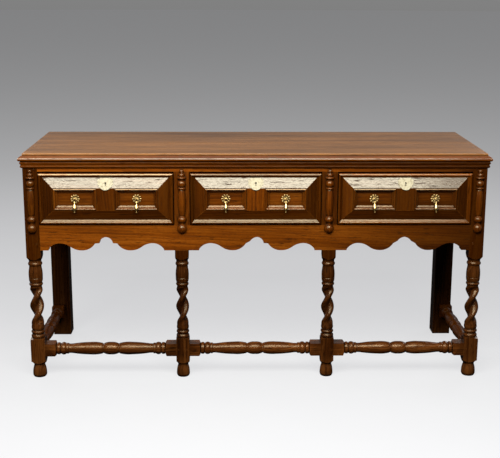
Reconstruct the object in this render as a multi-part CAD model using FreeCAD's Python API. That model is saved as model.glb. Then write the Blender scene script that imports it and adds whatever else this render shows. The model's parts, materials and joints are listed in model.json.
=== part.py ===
import FreeCAD, Part
import math
import os

# A joined oak dresser base with three drawers, twist-turned front legs and turned stretchers.
# Sizes are millimetres. X runs along the front, Y from front to back and Z up from the floor.
# Pieces are built with the front faces of the posts on Y = 0, and moved to the origin at the end.

# Overall sizes
WIDTH = 1700.0
DEPTH = 580.0
HEIGHT = 850.0
TOP_THICK = 27.0
NOSE_REACH = 14.0           # how far the top's nose stands out from the post faces
TOP_JOINT_Y = 262.0         # where the two boards of the top meet
REAR_INSET = 5.0            # rear posts stand this far inside the back edge of the top

# Posts, legs and rails
POST = 52.0
INNER_LEG = 49.0
REAR_POST_X = 72.0
REAR_POST_Y = 68.0
RAIL_THICK = 36.0
TENON_THICK = 12.0
TENON_LONG = 32.0
TENON_SHOULDER = 6.0        # wood left above and below the tenon of a rail
STILE_SHOULDER = 10.0       # wood left at each side of the tenon of a stile or muntin
DIVIDER = 56.0
DIVIDER_TENON_LONG = 28.0
LEG_TENON_HALF = 16.0
LEG_TENON_LONG = 40.0
MIDDLE_OPENING = 478.0

# Heights on the front
CORNICE_LOW = 798.0
FRIEZE_LOW = 784.0
APRON_TOP = 588.0
APRON_LOW = 493.0
ARCH_RISE = 27.0
PEAK_RISE = 50.0
PEAK_DRIFT = 5.0            # the bays were cut by eye, each a little off its middle

# Turned legs
SQUARE_LOW = 468.0          # lower end of the square stile, above the turning
TWIST_HIGH = 352.0
TWIST_LOW = 200.0
TWIST_CROSSING = 272.0      # height where both strands lie side by side across the front
TWIST_HALF_PITCH = 74.0
TWIST_SECTIONS = 22
STRETCHER = 48.0
STRETCHER_Z = 108.0
STRETCHER_BLOCK = 36.0
STRETCHER_TENON = 18.0
STRETCHER_TENON_LONG = 16.0
SQUARE_CLEAR = 1.45         # a turning this many times half the section clears its corners

# Sides and back
SIDE_RAIL_THICK = 26.0
SIDE_TOP_RAIL_LOW = 768.0
SIDE_LOW_RAIL_LOW = 500.0
SIDE_LOW_RAIL_TOP = 592.0
SIDE_TENON_LONG = 24.0
PANEL_THICK = 10.0
PANEL_GROOVE = 8.0
BACK_LOW_RAIL_LOW = 455.0
BACK_RAIL_THICK = 24.0
BACK_MUNTIN = 60.0

# Drawers
DRAWER_GAP = 5.5            # the drawers are worn and sit loosely in their openings
DRAWER_SIDE_GAP = 3.25
DRAWER_FRONT_THICK = 18.0
DRAWER_SIDE_THICK = 13.0
DRAWER_SIDE_SET = 1.0       # side boards stand in from the ends of the front
DRAWER_SIDE_LOW = 598.0
DRAWER_SIDE_TOP = 766.0
DRAWER_LONG = 484.0
DRAWER_BACK_THICK = 12.0
DRAWER_BOTTOM_THICK = 9.0
DRAWER_BOTTOM_LOW = 602.0
DRAWER_GROOVE = 5.0
FRONT_REBATE = 10.0

# Runners
RUNNER_LOW = 673.0
RUNNER_TALL = 15.5
RUNNER_REACH = 6.0
RUNNER_SLOT_DEEP = 7.0
RUNNER_SLOT_ROOM = 1.2
RUNNER_OUTER_X = 806.0
RUNNER_STUB = 8.0
RUNNER_SHOULDER = 3.0
SLOT_LEAD = 0.6             # the closed groove ends this far in front of its runner, as a stop

# Mouldings on a drawer front, measured inwards from its edge and out from the board
BORDER = 15.0
BEVEL = 36.5
BEVEL_LOW = 1.8
FIELD_PROUD = 18.0
FRAME = 17.0
RIDGE_PROUD = 19.5          # ridge round a small frame, and how far in its crest lies
RIDGE_INSET = 5.3
FIELD_MUNTIN = 64.0
TABLET = 5.5
CUT_REACH = 60.0            # cuts reach this far out in front of the posts

# Brass and iron
ROSETTE_R = 17.5
ROSETTE_ROOT_R = 14.8
ROSETTE_PETALS = 10
ROSETTE_THICK = 1.8
BOSS_R = 7.5
BOSS_TOP_R = 4.6
BOSS_TALL = 3.0
DROP_LONG = 49.0
DROP_R = 6.25
DROP_CLEAR = 0.75
HINGE_PROUD = 16.5          # how far the wire that a drop hangs on stands out from the board
WIRE_R = 1.0
WIRE_CLEAR = 0.1            # tails of a staple lie this far off the wood
WIRE_HOLE_R = 1.4
STAPLE_BEND_R = 3.0
STAPLE_CORNER = 2.0
STAPLE_TAIL = 12.0
RING_R = 3.4                # ring at the top of a drop
RING_WIRE_R = 1.2
RING_DROP = -0.9            # the ring hangs a little below the wire
PLATE_THICK = 1.6
KEYHOLE_R = 3.0
KEYHOLE_SLOT = 2.6
KEYHOLE_LONG = 10.0
LOCK_WIDE = 72.0
LOCK_THICK = 13.0
LOCK_LOW = 722.0
LOCK_TOP = 776.0
BOLT_WIDE = 21.0
BOLT_THICK = 6.0
BOLT_LOW = 752.0
BOLT_TOP = 775.0
BOLT_ROOM = 0.5
BOLT_TRAVEL = 14.0

# Pegs
PEG_R = 4.2
PEG_SIDES = 8
PEG_LONG = 28.0
PEG_SET = 13.0              # distance of a peg from the shoulder of its tenon
PEG_FROM_EDGE = 24.0        # distance of a peg from the edge of a broad rail

# Places worked out from the driving dimensions
V = FreeCAD.Vector
TOP_LOW = HEIGHT - TOP_THICK
POST_X = WIDTH / 2 - NOSE_REACH
POST_CENTRE = POST_X - POST / 2
LEG_CENTRE = POST_CENTRE / 3
OPENING_EDGE = POST_X - POST
DIVIDER_CENTRE = MIDDLE_OPENING / 2 + DIVIDER / 2
BACK_Y = DEPTH - NOSE_REACH
REAR_BACK_Y = BACK_Y - REAR_INSET
REAR_FRONT_Y = REAR_BACK_Y - REAR_POST_Y
REAR_INNER_X = POST_X - REAR_POST_X
BACK_FRAME_Y = REAR_BACK_Y - BACK_RAIL_THICK - REAR_INSET
DRAWER_LOW = APRON_TOP + DRAWER_GAP
DRAWER_TOP = FRIEZE_LOW - DRAWER_GAP
FIELD_CENTRE_Z = (DRAWER_LOW + DRAWER_TOP) / 2
FIELD_HALF = (DRAWER_TOP - DRAWER_LOW) / 2 - BORDER - BEVEL
BEVEL_TILT = math.degrees(math.atan2(FIELD_PROUD - BEVEL_LOW, BEVEL))
KEYHOLE_Z = DRAWER_TOP - BORDER - BEVEL / 2
DROP_LEAN = math.degrees(math.atan2(RIDGE_PROUD + DROP_CLEAR + DROP_R - HINGE_PROUD,
                                    FIELD_HALF - RIDGE_INSET))
SIDES = {"left": -1, "right": 1}
CLOSED = 1e-6               # an outline whose ends are this near is already closed


# Shape helpers

def block(x0, x1, y0, y1, z0, z1):
    """A squared piece between two corners, given in either order."""
    low = V(min(x0, x1), min(y0, y1), min(z0, z1))
    return Part.makeBox(abs(x1 - x0), abs(y1 - y0), abs(z1 - z0), low)


def flat_face(start, steps, lift):
    """A face round the steps: a point is a straight run, a pair (via, end) is an arc."""
    edges = []
    here = lift(*start)
    for step in steps:
        if isinstance(step[0], tuple):
            via, end = lift(*step[0]), lift(*step[1])
            edges.append(Part.Arc(here, via, end).toShape())
        else:
            end = lift(*step)
            edges.append(Part.makeLine(here, end))
        here = end
    if (here - lift(*start)).Length > CLOSED:
        edges.append(Part.makeLine(here, lift(*start)))
    return Part.Face(Part.Wire(edges))


def turned(steps):
    """A turning about Z, from a profile of radius and height that starts and ends on the axis."""
    profile = flat_face(steps[0], steps[1:], lambda r, z: V(r, 0, z))
    return profile.revolve(V(0, 0, 0), V(0, 0, 1), 360)


def joined(*shapes):
    """One solid from pieces that meet."""
    return shapes[0].multiFuse(list(shapes[1:])).removeSplitter()


def mirrored(shape):
    """The same shape on the other side of the middle."""
    return shape.mirror(V(0, 0, 0), V(1, 0, 0))


def moved(shape, x=0.0, y=0.0, z=0.0):
    """A copy of a shape at another place."""
    copy = shape.copy()
    copy.translate(V(x, y, z))
    return copy


def mitred_frame(centre_x, centre_z, half_x, half_z, width, start, steps):
    """Four mitred lengths of moulding round a rectangle on the drawer front.

    The profile is given as inset from the outer edge and height above the board."""
    lengths = []
    for turn in range(4):
        half, rise = (half_x, half_z) if turn % 2 == 0 else (half_z, half_x)
        profile = flat_face(start, steps, lambda inset, proud: V(-half, -proud, rise - inset))
        strip = profile.extrude(V(2 * half, 0, 0))
        mitre = flat_face((-half, rise),
                          [(half, rise), (half - width, rise - width), (width - half, rise - width)],
                          lambda x, z: V(x, 0, z))
        length = strip.common(mitre.extrude(V(0, -CUT_REACH, 0)))
        length.rotate(V(0, 0, 0), V(0, 1, 0), 90.0 * turn)
        lengths.append(moved(length, centre_x, 0, centre_z))
    return lengths


def peg(x, y, z, direction):
    """An eight-sided peg driven in from a face, along the given direction."""
    points = []
    for side in range(PEG_SIDES + 1):
        angle = 2 * math.pi * (side + 0.5) / PEG_SIDES
        points.append(V(PEG_R * math.cos(angle), PEG_R * math.sin(angle), 0))
    shank = Part.Face(Part.makePolygon(points)).extrude(V(0, 0, PEG_LONG))
    shank.Placement = FreeCAD.Placement(V(x, y, z), FreeCAD.Rotation(V(0, 0, 1), direction))
    return shank


# Top and cornice

def top_boards():
    """The thumb-moulded top, worked on the front and both ends, and sawn into its two boards."""
    edge = [(14.6, 0.0), (14.6, 6.4), (15.8, 6.8), ((10.4, 9.0), (5.0, 12.8)), ((1.3, 16.0), (0.0, 20.2)),
            ((1.3, 24.6), (5.0, TOP_THICK))]
    half = WIDTH / 2
    nose_y = -NOSE_REACH

    def across(inset, drop):
        return V(-half, nose_y + inset, HEIGHT - drop)

    front = flat_face(edge[0], edge[1:] + [(DEPTH, TOP_THICK), (DEPTH, 0.0)], across)
    along = front.extrude(V(WIDTH, 0, 0))

    def endways(inset, drop):
        return V(half - inset, nose_y, HEIGHT - drop)

    end = flat_face(edge[0], edge[1:] + [(half, TOP_THICK), (half, 0.0)], endways)
    right = end.extrude(V(0, DEPTH, 0))
    whole = along.common(joined(right, mirrored(right)))
    front_half = block(-half, half, nose_y, TOP_JOINT_Y, TOP_LOW, HEIGHT)
    return whole.common(front_half), whole.cut(front_half)


def cornice():
    """The moulding under the top: one length along the front and one down each end."""
    start = (0.0, TOP_LOW)
    steps = [(6.2, TOP_LOW), (6.2, 820.4), ((8.2, 816.4), (6.4, 812.6)), (5.4, 812.0),
             ((4.9, 809.4), (5.2, 807.0)), ((6.8, 803.2), (5.0, 799.8)), (3.4, 799.3),
             (3.4, CORNICE_LOW), (0.0, CORNICE_LOW)]
    reach = NOSE_REACH
    far = POST_X + reach
    front = flat_face(start, steps, lambda out, z: V(-far, -out, z)).extrude(V(2 * far, 0, 0))
    mitre = flat_face((-POST_X, 0), [(POST_X, 0), (far, -reach), (-far, -reach)], lambda x, y: V(x, y, 0))
    front = front.common(mitre.extrude(V(0, 0, HEIGHT)))
    end = flat_face(start, steps, lambda out, z: V(POST_X + out, -reach, z))
    end = end.extrude(V(0, REAR_BACK_Y + reach, 0))
    mitre = flat_face((POST_X, 0), [(far, -reach), (far, REAR_BACK_Y), (POST_X, REAR_BACK_Y)],
                      lambda x, y: V(x, y, 0))
    end = end.common(mitre.extrude(V(0, 0, HEIGHT)))
    return front, [mirrored(end), end]


# Turned posts, legs and stretchers

def eased(share):
    """A smooth step from 0 to 1."""
    share = min(1.0, max(0.0, share))
    return share * share * (3 - 2 * share)


def twist(half):
    """The open double twist, lofted through a two-lobed section that turns as it rises."""
    mean, depth = 0.65 * half, 0.33 * half
    low_r, high_r = 0.88 * half, 0.80 * half
    low_run, high_run = 38.0, 20.0
    eighth = math.pi / 4
    sections = []
    for step in range(TWIST_SECTIONS + 1):
        z = TWIST_LOW + (TWIST_HIGH - TWIST_LOW) * step / TWIST_SECTIONS
        low = 1 - eased((z - TWIST_LOW) / low_run)
        high = 1 - eased((TWIST_HIGH - z) / high_run)
        middle = mean + (low_r - mean) * low + (high_r - mean) * high
        carve = depth * (1 - low) * (1 - high)
        turn = math.pi * (z - TWIST_CROSSING) / TWIST_HALF_PITCH

        def rim(angle):
            r = middle + carve * math.cos(2 * angle)
            return V(r * math.cos(angle + turn), r * math.sin(angle + turn), z)

        arcs = []
        for lobe in range(8):
            angle = lobe * eighth
            arc = Part.Arc(rim(angle - eighth / 2), rim(angle), rim(angle + eighth / 2))
            arcs.append(arc.toShape())
        sections.append(Part.Wire(arcs))
    return Part.makeLoft(sections, True, False)


def turned_leg(half, top):
    """A front leg on its own axis: turned foot, square block, double twist, vase and square top."""
    square = SQUARE_CLEAR * half
    lower = turned([
        (0, 0), (0.84 * half, 0), ((0.96 * half, 5), (0.99 * half, 14)),
        ((0.93 * half, 31), (0.79 * half, 44)), (0.79 * half, 49), (0.88 * half, 52),
        ((1.02 * half, 56), (square, 64)), (square, 148),
        ((1.10 * half, 151.5), (0.90 * half, 154)), ((0.99 * half, 160), (0.88 * half, 166)),
        (0.81 * half, 168), (0.81 * half, 170.5), ((0.97 * half, 176), (0.86 * half, 181.5)),
        (0.80 * half, 183), ((0.91 * half, 190), (0.88 * half, TWIST_LOW)), (0, TWIST_LOW)])
    upper = turned([
        (0, TWIST_HIGH), (0.80 * half, TWIST_HIGH), (0.82 * half, 354.5),
        ((0.96 * half, 360), (0.84 * half, 365.5)), (0.80 * half, 367), (0.90 * half, 369),
        ((0.97 * half, 377), (0.985 * half, 383.5)), (0.94 * half, 385), (0.985 * half, 386.5),
        ((0.99 * half, 401), (0.95 * half, 413)), ((0.89 * half, 422), (0.86 * half, 430)),
        (0.89 * half, 432), ((1.00 * half, 438), (0.90 * half, 444)), (0.87 * half, 446),
        (0.89 * half, 452), ((1.06 * half, 458), (square, SQUARE_LOW)), (square, top), (0, top)])
    blank = block(-half, half, -half, half, 0, top)
    return joined(blank.common(lower), twist(half), blank.common(upper))


def stretcher(length, tenon_long):
    """A turned stretcher along Z with square ends and tenons, centred on the origin."""
    half = STRETCHER / 2
    square = SQUARE_CLEAR * half
    end = length / 2
    drawn_long = 210.0
    scale = (end - STRETCHER_BLOCK) / drawn_long
    marks = [
        (0, 0), (0.98 * half, 0), ((0.95 * half, 15), (0.80 * half, 26)), (0.74 * half, 28.5),
        (0.76 * half, 31), (0.84 * half, 33), ((0.97 * half, 52), (0.98 * half, 78)),
        ((0.92 * half, 108), (0.74 * half, 146)), (0.73 * half, 158), (0.84 * half, 160),
        (0.84 * half, 166), (0.80 * half, 168), ((0.98 * half, 178), (0.82 * half, 188)),
        (0.78 * half, 190), (0.92 * half, 192), ((0.94 * half, 197), (0.90 * half, 202)),
        (0.80 * half, 204), (square, drawn_long)]

    def stretched(mark):
        if isinstance(mark[0], tuple):
            return tuple(stretched(point) for point in mark)
        return mark[0], mark[1] * scale

    outer = turned([stretched(mark) for mark in marks] + [(square, end), (0, end)])
    arm = block(-half, half, -half, half, 0, end).common(outer)
    other = arm.mirror(V(0, 0, 0), V(0, 0, 1))
    tenon_half = STRETCHER_TENON / 2
    tenons = block(-tenon_half, tenon_half, -tenon_half, tenon_half, -end - tenon_long, end + tenon_long)
    return joined(arm, other, tenons)


def front_stretcher(x0, x1):
    """A stretcher between two front legs, given the faces of their blocks."""
    bar = stretcher(x1 - x0, STRETCHER_TENON_LONG)
    bar.rotate(V(0, 0, 0), V(0, 1, 0), 90)
    return moved(bar, (x0 + x1) / 2, INNER_LEG / 2, STRETCHER_Z)


def side_stretcher(side):
    """A stretcher from a front corner post back to a rear post."""
    bar = stretcher(REAR_FRONT_Y - POST, STRETCHER_TENON_LONG)
    bar.rotate(V(0, 0, 0), V(1, 0, 0), 90)
    return moved(bar, side * POST_CENTRE, (POST + REAR_FRONT_Y) / 2, STRETCHER_Z)


def split_baluster(x):
    """Half of a small turned baluster, with its flat side on the front."""
    whole = turned([
        (0, 557), (4, 557.5), ((17.5, 575), (9, 591)), (8.5, 594), (8.5, 597), (12, 599),
        ((16.5, 609), (11, 619)), (9.5, 621), (9.5, 624), (11, 626), ((14.4, 672), (11, 716)),
        (9.8, 718), (13, 720.5), ((15.2, 724), (13, 727.5)), (10.5, 729), ((15.8, 743), (11, 752)),
        (9, 754), (9, 757.5), (14.5, 759), ((16.6, 762.5), (14, 766)), (10, 768),
        ((12, 773), (7, 779)), (6, 780.5), ((8.6, 787), (3.5, 793)), (0, 794)])
    return moved(whole.common(block(-POST, POST, -POST, 0, 0, HEIGHT)), x)


# Rails, dividers and panels

def frieze_rail():
    """The rail over the drawers, tenoned into the corner posts."""
    tenon_y = (RAIL_THICK - TENON_THICK) / 2
    reach = OPENING_EDGE + TENON_LONG
    rail = block(-OPENING_EDGE, OPENING_EDGE, 0, RAIL_THICK, FRIEZE_LOW, TOP_LOW)
    tenons = block(-reach, reach, tenon_y, tenon_y + TENON_THICK, FRIEZE_LOW + TENON_SHOULDER,
                   TOP_LOW - TENON_SHOULDER)
    return joined(rail, tenons)


def half_bay(peak_x, half, side, cusp):
    """The apron's lower edge from one end of a bay to its peak, as a start and its steps."""
    shoulder = 27.0 if cusp else 35.0

    def at(share, rise):
        return peak_x + side * share * half, APRON_LOW + rise

    steps = [at(0.86, 4.0), (at(0.80, 19.0), at(0.695, ARCH_RISE)),
             (at(0.61, 23.8), at(0.53, 13.5)), (at(0.45, 3.2), at(0.36, 0.0)),
             (at(0.245, 7.0), at(0.165, 26.0)), at(0.10, shoulder),
             (at(0.052, 46.0), at(0.0, PEAK_RISE))]
    return at(0.86, 0.0), steps


def backwards(start, steps):
    """The same steps walked from their end to their start."""
    ends = [start]
    for step in steps:
        ends.append(step[1] if isinstance(step[0], tuple) else step)
    walked = []
    for index in reversed(range(len(steps))):
        step = steps[index]
        walked.append((step[0], ends[index]) if isinstance(step[0], tuple) else ends[index])
    return walked


def bay_edge(peak_x, half, cusps):
    """The lower edge of one whole bay, from left to right."""
    start, rise = half_bay(peak_x, half, -1, cusps[0])
    return [start] + rise + backwards(*half_bay(peak_x, half, 1, cusps[1]))


def apron_rail():
    """One long board under the drawers, with a shaped edge in three bays, tenoned into the posts."""
    leg_half = INNER_LEG / 2
    inner = LEG_CENTRE - leg_half
    outer = LEG_CENTRE + leg_half
    bay = (OPENING_EDGE + outer) / 2
    bay_half = (OPENING_EDGE - outer) / 2
    edge = bay_edge(-bay - PEAK_DRIFT, bay_half, (True, True))
    edge += bay_edge(PEAK_DRIFT, inner, (False, True))
    edge += bay_edge(bay + PEAK_DRIFT, bay_half, (False, False))
    edge += [(OPENING_EDGE, APRON_LOW), (OPENING_EDGE, APRON_TOP), (-OPENING_EDGE, APRON_TOP)]
    board = flat_face((-OPENING_EDGE, APRON_LOW), edge, lambda x, z: V(x, 0, z))
    board = board.extrude(V(0, RAIL_THICK, 0))
    tenon_y = (RAIL_THICK - TENON_THICK) / 2
    low, high = APRON_LOW + TENON_SHOULDER, APRON_TOP - TENON_SHOULDER
    tenons = []
    for side in SIDES.values():
        reach = side * (OPENING_EDGE + TENON_LONG)
        tenons.append(block(side * OPENING_EDGE, reach, tenon_y, tenon_y + TENON_THICK, low, high))
    return joined(board, *tenons)


def drawer_divider(x):
    """The short stile between two drawers, tenoned into the frieze rail and the apron."""
    half = DIVIDER / 2
    tenon_y = (RAIL_THICK - TENON_THICK) / 2
    stile = block(x - half, x + half, 0, RAIL_THICK, APRON_TOP, FRIEZE_LOW)
    tenon_half = half - STILE_SHOULDER
    tenon = block(x - tenon_half, x + tenon_half, tenon_y, tenon_y + TENON_THICK,
                  APRON_TOP - DIVIDER_TENON_LONG, FRIEZE_LOW + DIVIDER_TENON_LONG)
    return joined(stile, tenon)


def leg_tenon(x):
    """The tenon on top of an inner leg, which goes up into the apron."""
    tenon_y = (RAIL_THICK - TENON_THICK) / 2
    return block(x - LEG_TENON_HALF, x + LEG_TENON_HALF, tenon_y, tenon_y + TENON_THICK,
                 APRON_LOW - TENON_THICK, APRON_LOW + LEG_TENON_LONG)


def side_rails(side):
    """Upper and lower rail of one end, tenoned into the front and rear posts."""
    tenon_x = side * (POST_X - (SIDE_RAIL_THICK - PANEL_THICK) / 2)
    tenon_inner = tenon_x - side * PANEL_THICK
    rails = []
    for low, high in ((SIDE_TOP_RAIL_LOW, TOP_LOW), (SIDE_LOW_RAIL_LOW, SIDE_LOW_RAIL_TOP)):
        rail = block(side * (POST_X - SIDE_RAIL_THICK), side * POST_X, POST, REAR_FRONT_Y, low, high)
        tenon = block(tenon_inner, tenon_x, POST - SIDE_TENON_LONG, REAR_FRONT_Y + SIDE_TENON_LONG,
                      low + TENON_SHOULDER, high - TENON_SHOULDER)
        rails.append(joined(rail, tenon))
    return rails


def side_panel(side):
    """The panel of one end, let into grooves in its rails and posts."""
    outer = side * (POST_X - (SIDE_RAIL_THICK - PANEL_THICK) / 2)
    return block(outer, outer - side * PANEL_THICK, POST - PANEL_GROOVE, REAR_FRONT_Y + PANEL_GROOVE,
                 SIDE_LOW_RAIL_TOP - PANEL_GROOVE, SIDE_TOP_RAIL_LOW + PANEL_GROOVE)


def back_frame():
    """Two rails and two muntins across the back, tenoned together and into the rear posts."""
    y0, y1 = BACK_FRAME_Y, BACK_FRAME_Y + BACK_RAIL_THICK
    tenon_y = y0 + (BACK_RAIL_THICK - PANEL_THICK) / 2
    reach = REAR_INNER_X + TENON_LONG
    rails = []
    for low, high in ((SIDE_TOP_RAIL_LOW, TOP_LOW), (BACK_LOW_RAIL_LOW, SIDE_LOW_RAIL_TOP)):
        rail = block(-REAR_INNER_X, REAR_INNER_X, y0, y1, low, high)
        tenons = block(-reach, reach, tenon_y, tenon_y + PANEL_THICK,
                       low + TENON_SHOULDER, high - TENON_SHOULDER)
        rails.append(joined(rail, tenons))
    muntins = []
    half = BACK_MUNTIN / 2
    tenon_half = half - STILE_SHOULDER
    for side in SIDES.values():
        x = side * DIVIDER_CENTRE
        stile = block(x - half, x + half, y0, y1, SIDE_LOW_RAIL_TOP, SIDE_TOP_RAIL_LOW)
        tenon = block(x - tenon_half, x + tenon_half, tenon_y, tenon_y + PANEL_THICK,
                      SIDE_LOW_RAIL_TOP - SIDE_TENON_LONG, SIDE_TOP_RAIL_LOW + SIDE_TENON_LONG)
        muntins.append(joined(stile, tenon))
    rails = [rail.cut(muntins) for rail in rails]
    return rails, muntins


def back_panels():
    """The three panels of the back, let into grooves."""
    y0 = BACK_FRAME_Y + (BACK_RAIL_THICK - PANEL_THICK) / 2
    low, high = SIDE_LOW_RAIL_TOP - PANEL_GROOVE, SIDE_TOP_RAIL_LOW + PANEL_GROOVE
    inner = DIVIDER_CENTRE - BACK_MUNTIN / 2 + PANEL_GROOVE
    outer = DIVIDER_CENTRE + BACK_MUNTIN / 2 - PANEL_GROOVE
    far = REAR_INNER_X + PANEL_GROOVE
    spans = ((-far, -outer), (-inner, inner), (outer, far))
    return [block(x0, x1, y0, y0 + PANEL_THICK, low, high) for x0, x1 in spans]


def drawer_runners():
    """Bars that stand in the grooves of the drawer sides: one at each end, one behind each divider."""
    high = RUNNER_LOW + RUNNER_TALL
    stub_low, stub_high = RUNNER_LOW + RUNNER_SHOULDER, high - RUNNER_SHOULDER
    side_face = OPENING_EDGE - DRAWER_SIDE_GAP - DRAWER_SIDE_SET
    bars = []
    for side in SIDES.values():
        bar = block(side * (side_face - RUNNER_REACH), side * RUNNER_OUTER_X, POST, REAR_FRONT_Y,
                    RUNNER_LOW, high)
        stub = block(side * (OPENING_EDGE + RUNNER_SHOULDER), side * (RUNNER_OUTER_X - RUNNER_SHOULDER),
                     POST - RUNNER_STUB, REAR_FRONT_Y + RUNNER_STUB, stub_low, stub_high)
        bars.append(joined(bar, stub))
    reach = DIVIDER / 2 + DRAWER_SIDE_GAP + DRAWER_SIDE_SET + RUNNER_REACH
    stub_half = DIVIDER / 2 - STILE_SHOULDER
    for side in SIDES.values():
        x = side * DIVIDER_CENTRE
        bar = block(x - reach, x + reach, RAIL_THICK, BACK_FRAME_Y, RUNNER_LOW, high)
        stub = block(x - stub_half, x + stub_half, RAIL_THICK - RUNNER_STUB, BACK_FRAME_Y + RUNNER_STUB,
                     stub_low, stub_high)
        bars.append(joined(bar, stub))
    return bars


# Drawer fittings

def keyhole(x, z, y0, y1):
    """The space of a keyhole, a round head over a narrow slot, between two depths."""
    head = Part.makeCylinder(KEYHOLE_R, y1 - y0, V(x, y0, z), V(0, 1, 0))
    slot_half = KEYHOLE_SLOT / 2
    return joined(head, block(x - slot_half, x + slot_half, y0, y1, z - KEYHOLE_LONG, z))


def staple(x, z):
    """The bent wire that a drop hangs on: a loop in front and two tails turned over inside."""
    inside = DRAWER_FRONT_THICK + WIRE_R + WIRE_CLEAR
    leg = STAPLE_BEND_R
    lean = STAPLE_CORNER * (1 - math.sqrt(0.5))

    def run(side):
        tip = V(x + side * (leg + STAPLE_TAIL), inside, z)
        turn_end = V(x + side * (leg + STAPLE_CORNER), inside, z)
        turn_via = V(x + side * (leg + lean), inside - lean, z)
        turn_start = V(x + side * leg, inside - STAPLE_CORNER, z)
        front = V(x + side * leg, leg - HINGE_PROUD, z)
        return tip, turn_end, turn_via, turn_start, front

    tip, turn_end, turn_via, turn_start, front = run(-1)
    far_tip, far_end, far_via, far_start, far_front = run(1)
    path = Part.Wire([
        Part.makeLine(tip, turn_end), Part.Arc(turn_end, turn_via, turn_start).toShape(),
        Part.makeLine(turn_start, front), Part.Arc(front, V(x, -HINGE_PROUD, z), far_front).toShape(),
        Part.makeLine(far_front, far_start), Part.Arc(far_start, far_via, far_end).toShape(),
        Part.makeLine(far_end, far_tip)])
    section = Part.Wire(Part.makeCircle(WIRE_R, tip, V(1, 0, 0)))
    return path.makePipeShell([section], True, True)


def wire_holes(x, z):
    """The two bored holes that a staple passes through, from the rosette to the inside."""
    long = DRAWER_FRONT_THICK + CUT_REACH
    return [Part.makeCylinder(WIRE_HOLE_R, long, V(x + side * STAPLE_BEND_R, -CUT_REACH, z), V(0, 1, 0))
            for side in SIDES.values()]


def rosette(x, z):
    """A scalloped brass plate with a low boss in its middle, flat on its tablet."""
    share = math.pi / ROSETTE_PETALS

    def rim(radius, angle):
        return x + radius * math.sin(angle), z + radius * math.cos(angle)

    petals = []
    for petal in range(ROSETTE_PETALS):
        middle = 2 * petal * share
        petals.append((rim(ROSETTE_R, middle), rim(ROSETTE_ROOT_R, middle + share)))
    plate = flat_face(rim(ROSETTE_ROOT_R, -share), petals, lambda u, v: V(u, -TABLET, v))
    plate = plate.extrude(V(0, -ROSETTE_THICK, 0))
    boss = Part.makeCone(BOSS_R, BOSS_TOP_R, BOSS_TALL, V(x, -TABLET - ROSETTE_THICK, z), V(0, -1, 0))
    return joined(plate, boss).cut(wire_holes(x, z))


def drop(x, z):
    """A pear-shaped drop with its ring round the staple, leaning out over the lower ridge."""
    pear = turned([
        (0, -DROP_LONG), ((2.2, -47.8), (2.4, -45.6)), (1.7, -44.2), ((2.6, -43), (2.0, -41.6)),
        ((4.9, -37.4), (DROP_R, -31)), ((4.6, -21), (1.9, -13.4)), ((3.2, -11.4), (1.9, -9.4)),
        (1.5, -8), (1.5, RING_DROP - RING_R), (0, RING_DROP - RING_R)])
    ring = Part.makeTorus(RING_R, RING_WIRE_R, V(0, 0, RING_DROP), V(1, 0, 0))
    whole = joined(pear, ring)
    whole.rotate(V(0, 0, 0), V(1, 0, 0), -DROP_LEAN)
    return moved(whole, x, -HINGE_PROUD, z)


def escutcheon(x):
    """A lobed brass plate on the upper bevel of a drawer front."""
    half = [((5.0, 19.0), (10.0, 16.5)), ((17.0, 18.8), (20.0, 12.5)), ((27.5, 10.5), (24.0, 3.0)),
            ((28.0, -4.0), (21.5, -9.0)), ((22.5, -14.5), (17.5, -17.5)), ((10.5, -24.5), (0.0, -27.0))]
    right = flat_face((0.0, 17.5), half, lambda u, v: V(u, 0, v)).extrude(V(0, -PLATE_THICK, 0))
    plate = joined(right, mirrored(right))
    plate.rotate(V(0, 0, 0), V(1, 0, 0), -BEVEL_TILT)
    return moved(plate, x, -(BEVEL_LOW + FIELD_PROUD) / 2, KEYHOLE_Z)


def lock(x):
    """A box lock: its case on the inside of the front, and the bolt that slides up out of it."""
    y0 = DRAWER_FRONT_THICK
    bolt_y = y0 + (LOCK_THICK - BOLT_THICK) / 2
    half = LOCK_WIDE / 2
    bolt_half = BOLT_WIDE / 2
    case = block(x - half, x + half, y0, y0 + LOCK_THICK, LOCK_LOW, LOCK_TOP)
    bolt = block(x - bolt_half, x + bolt_half, bolt_y, bolt_y + BOLT_THICK, BOLT_LOW, BOLT_TOP)
    case = case.cut([bolt_way(x, BOLT_LOW, LOCK_TOP), keyhole(x, KEYHOLE_Z, y0, bolt_y + BOLT_THICK)])
    return case, bolt


def bolt_way(x, low, high):
    """The room that a bolt slides in."""
    bolt_y = DRAWER_FRONT_THICK + (LOCK_THICK - BOLT_THICK) / 2
    half = BOLT_WIDE / 2 + BOLT_ROOM
    return block(x - half, x + half, bolt_y - BOLT_ROOM, bolt_y + BOLT_THICK + BOLT_ROOM, low, high)


# Drawers

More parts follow.
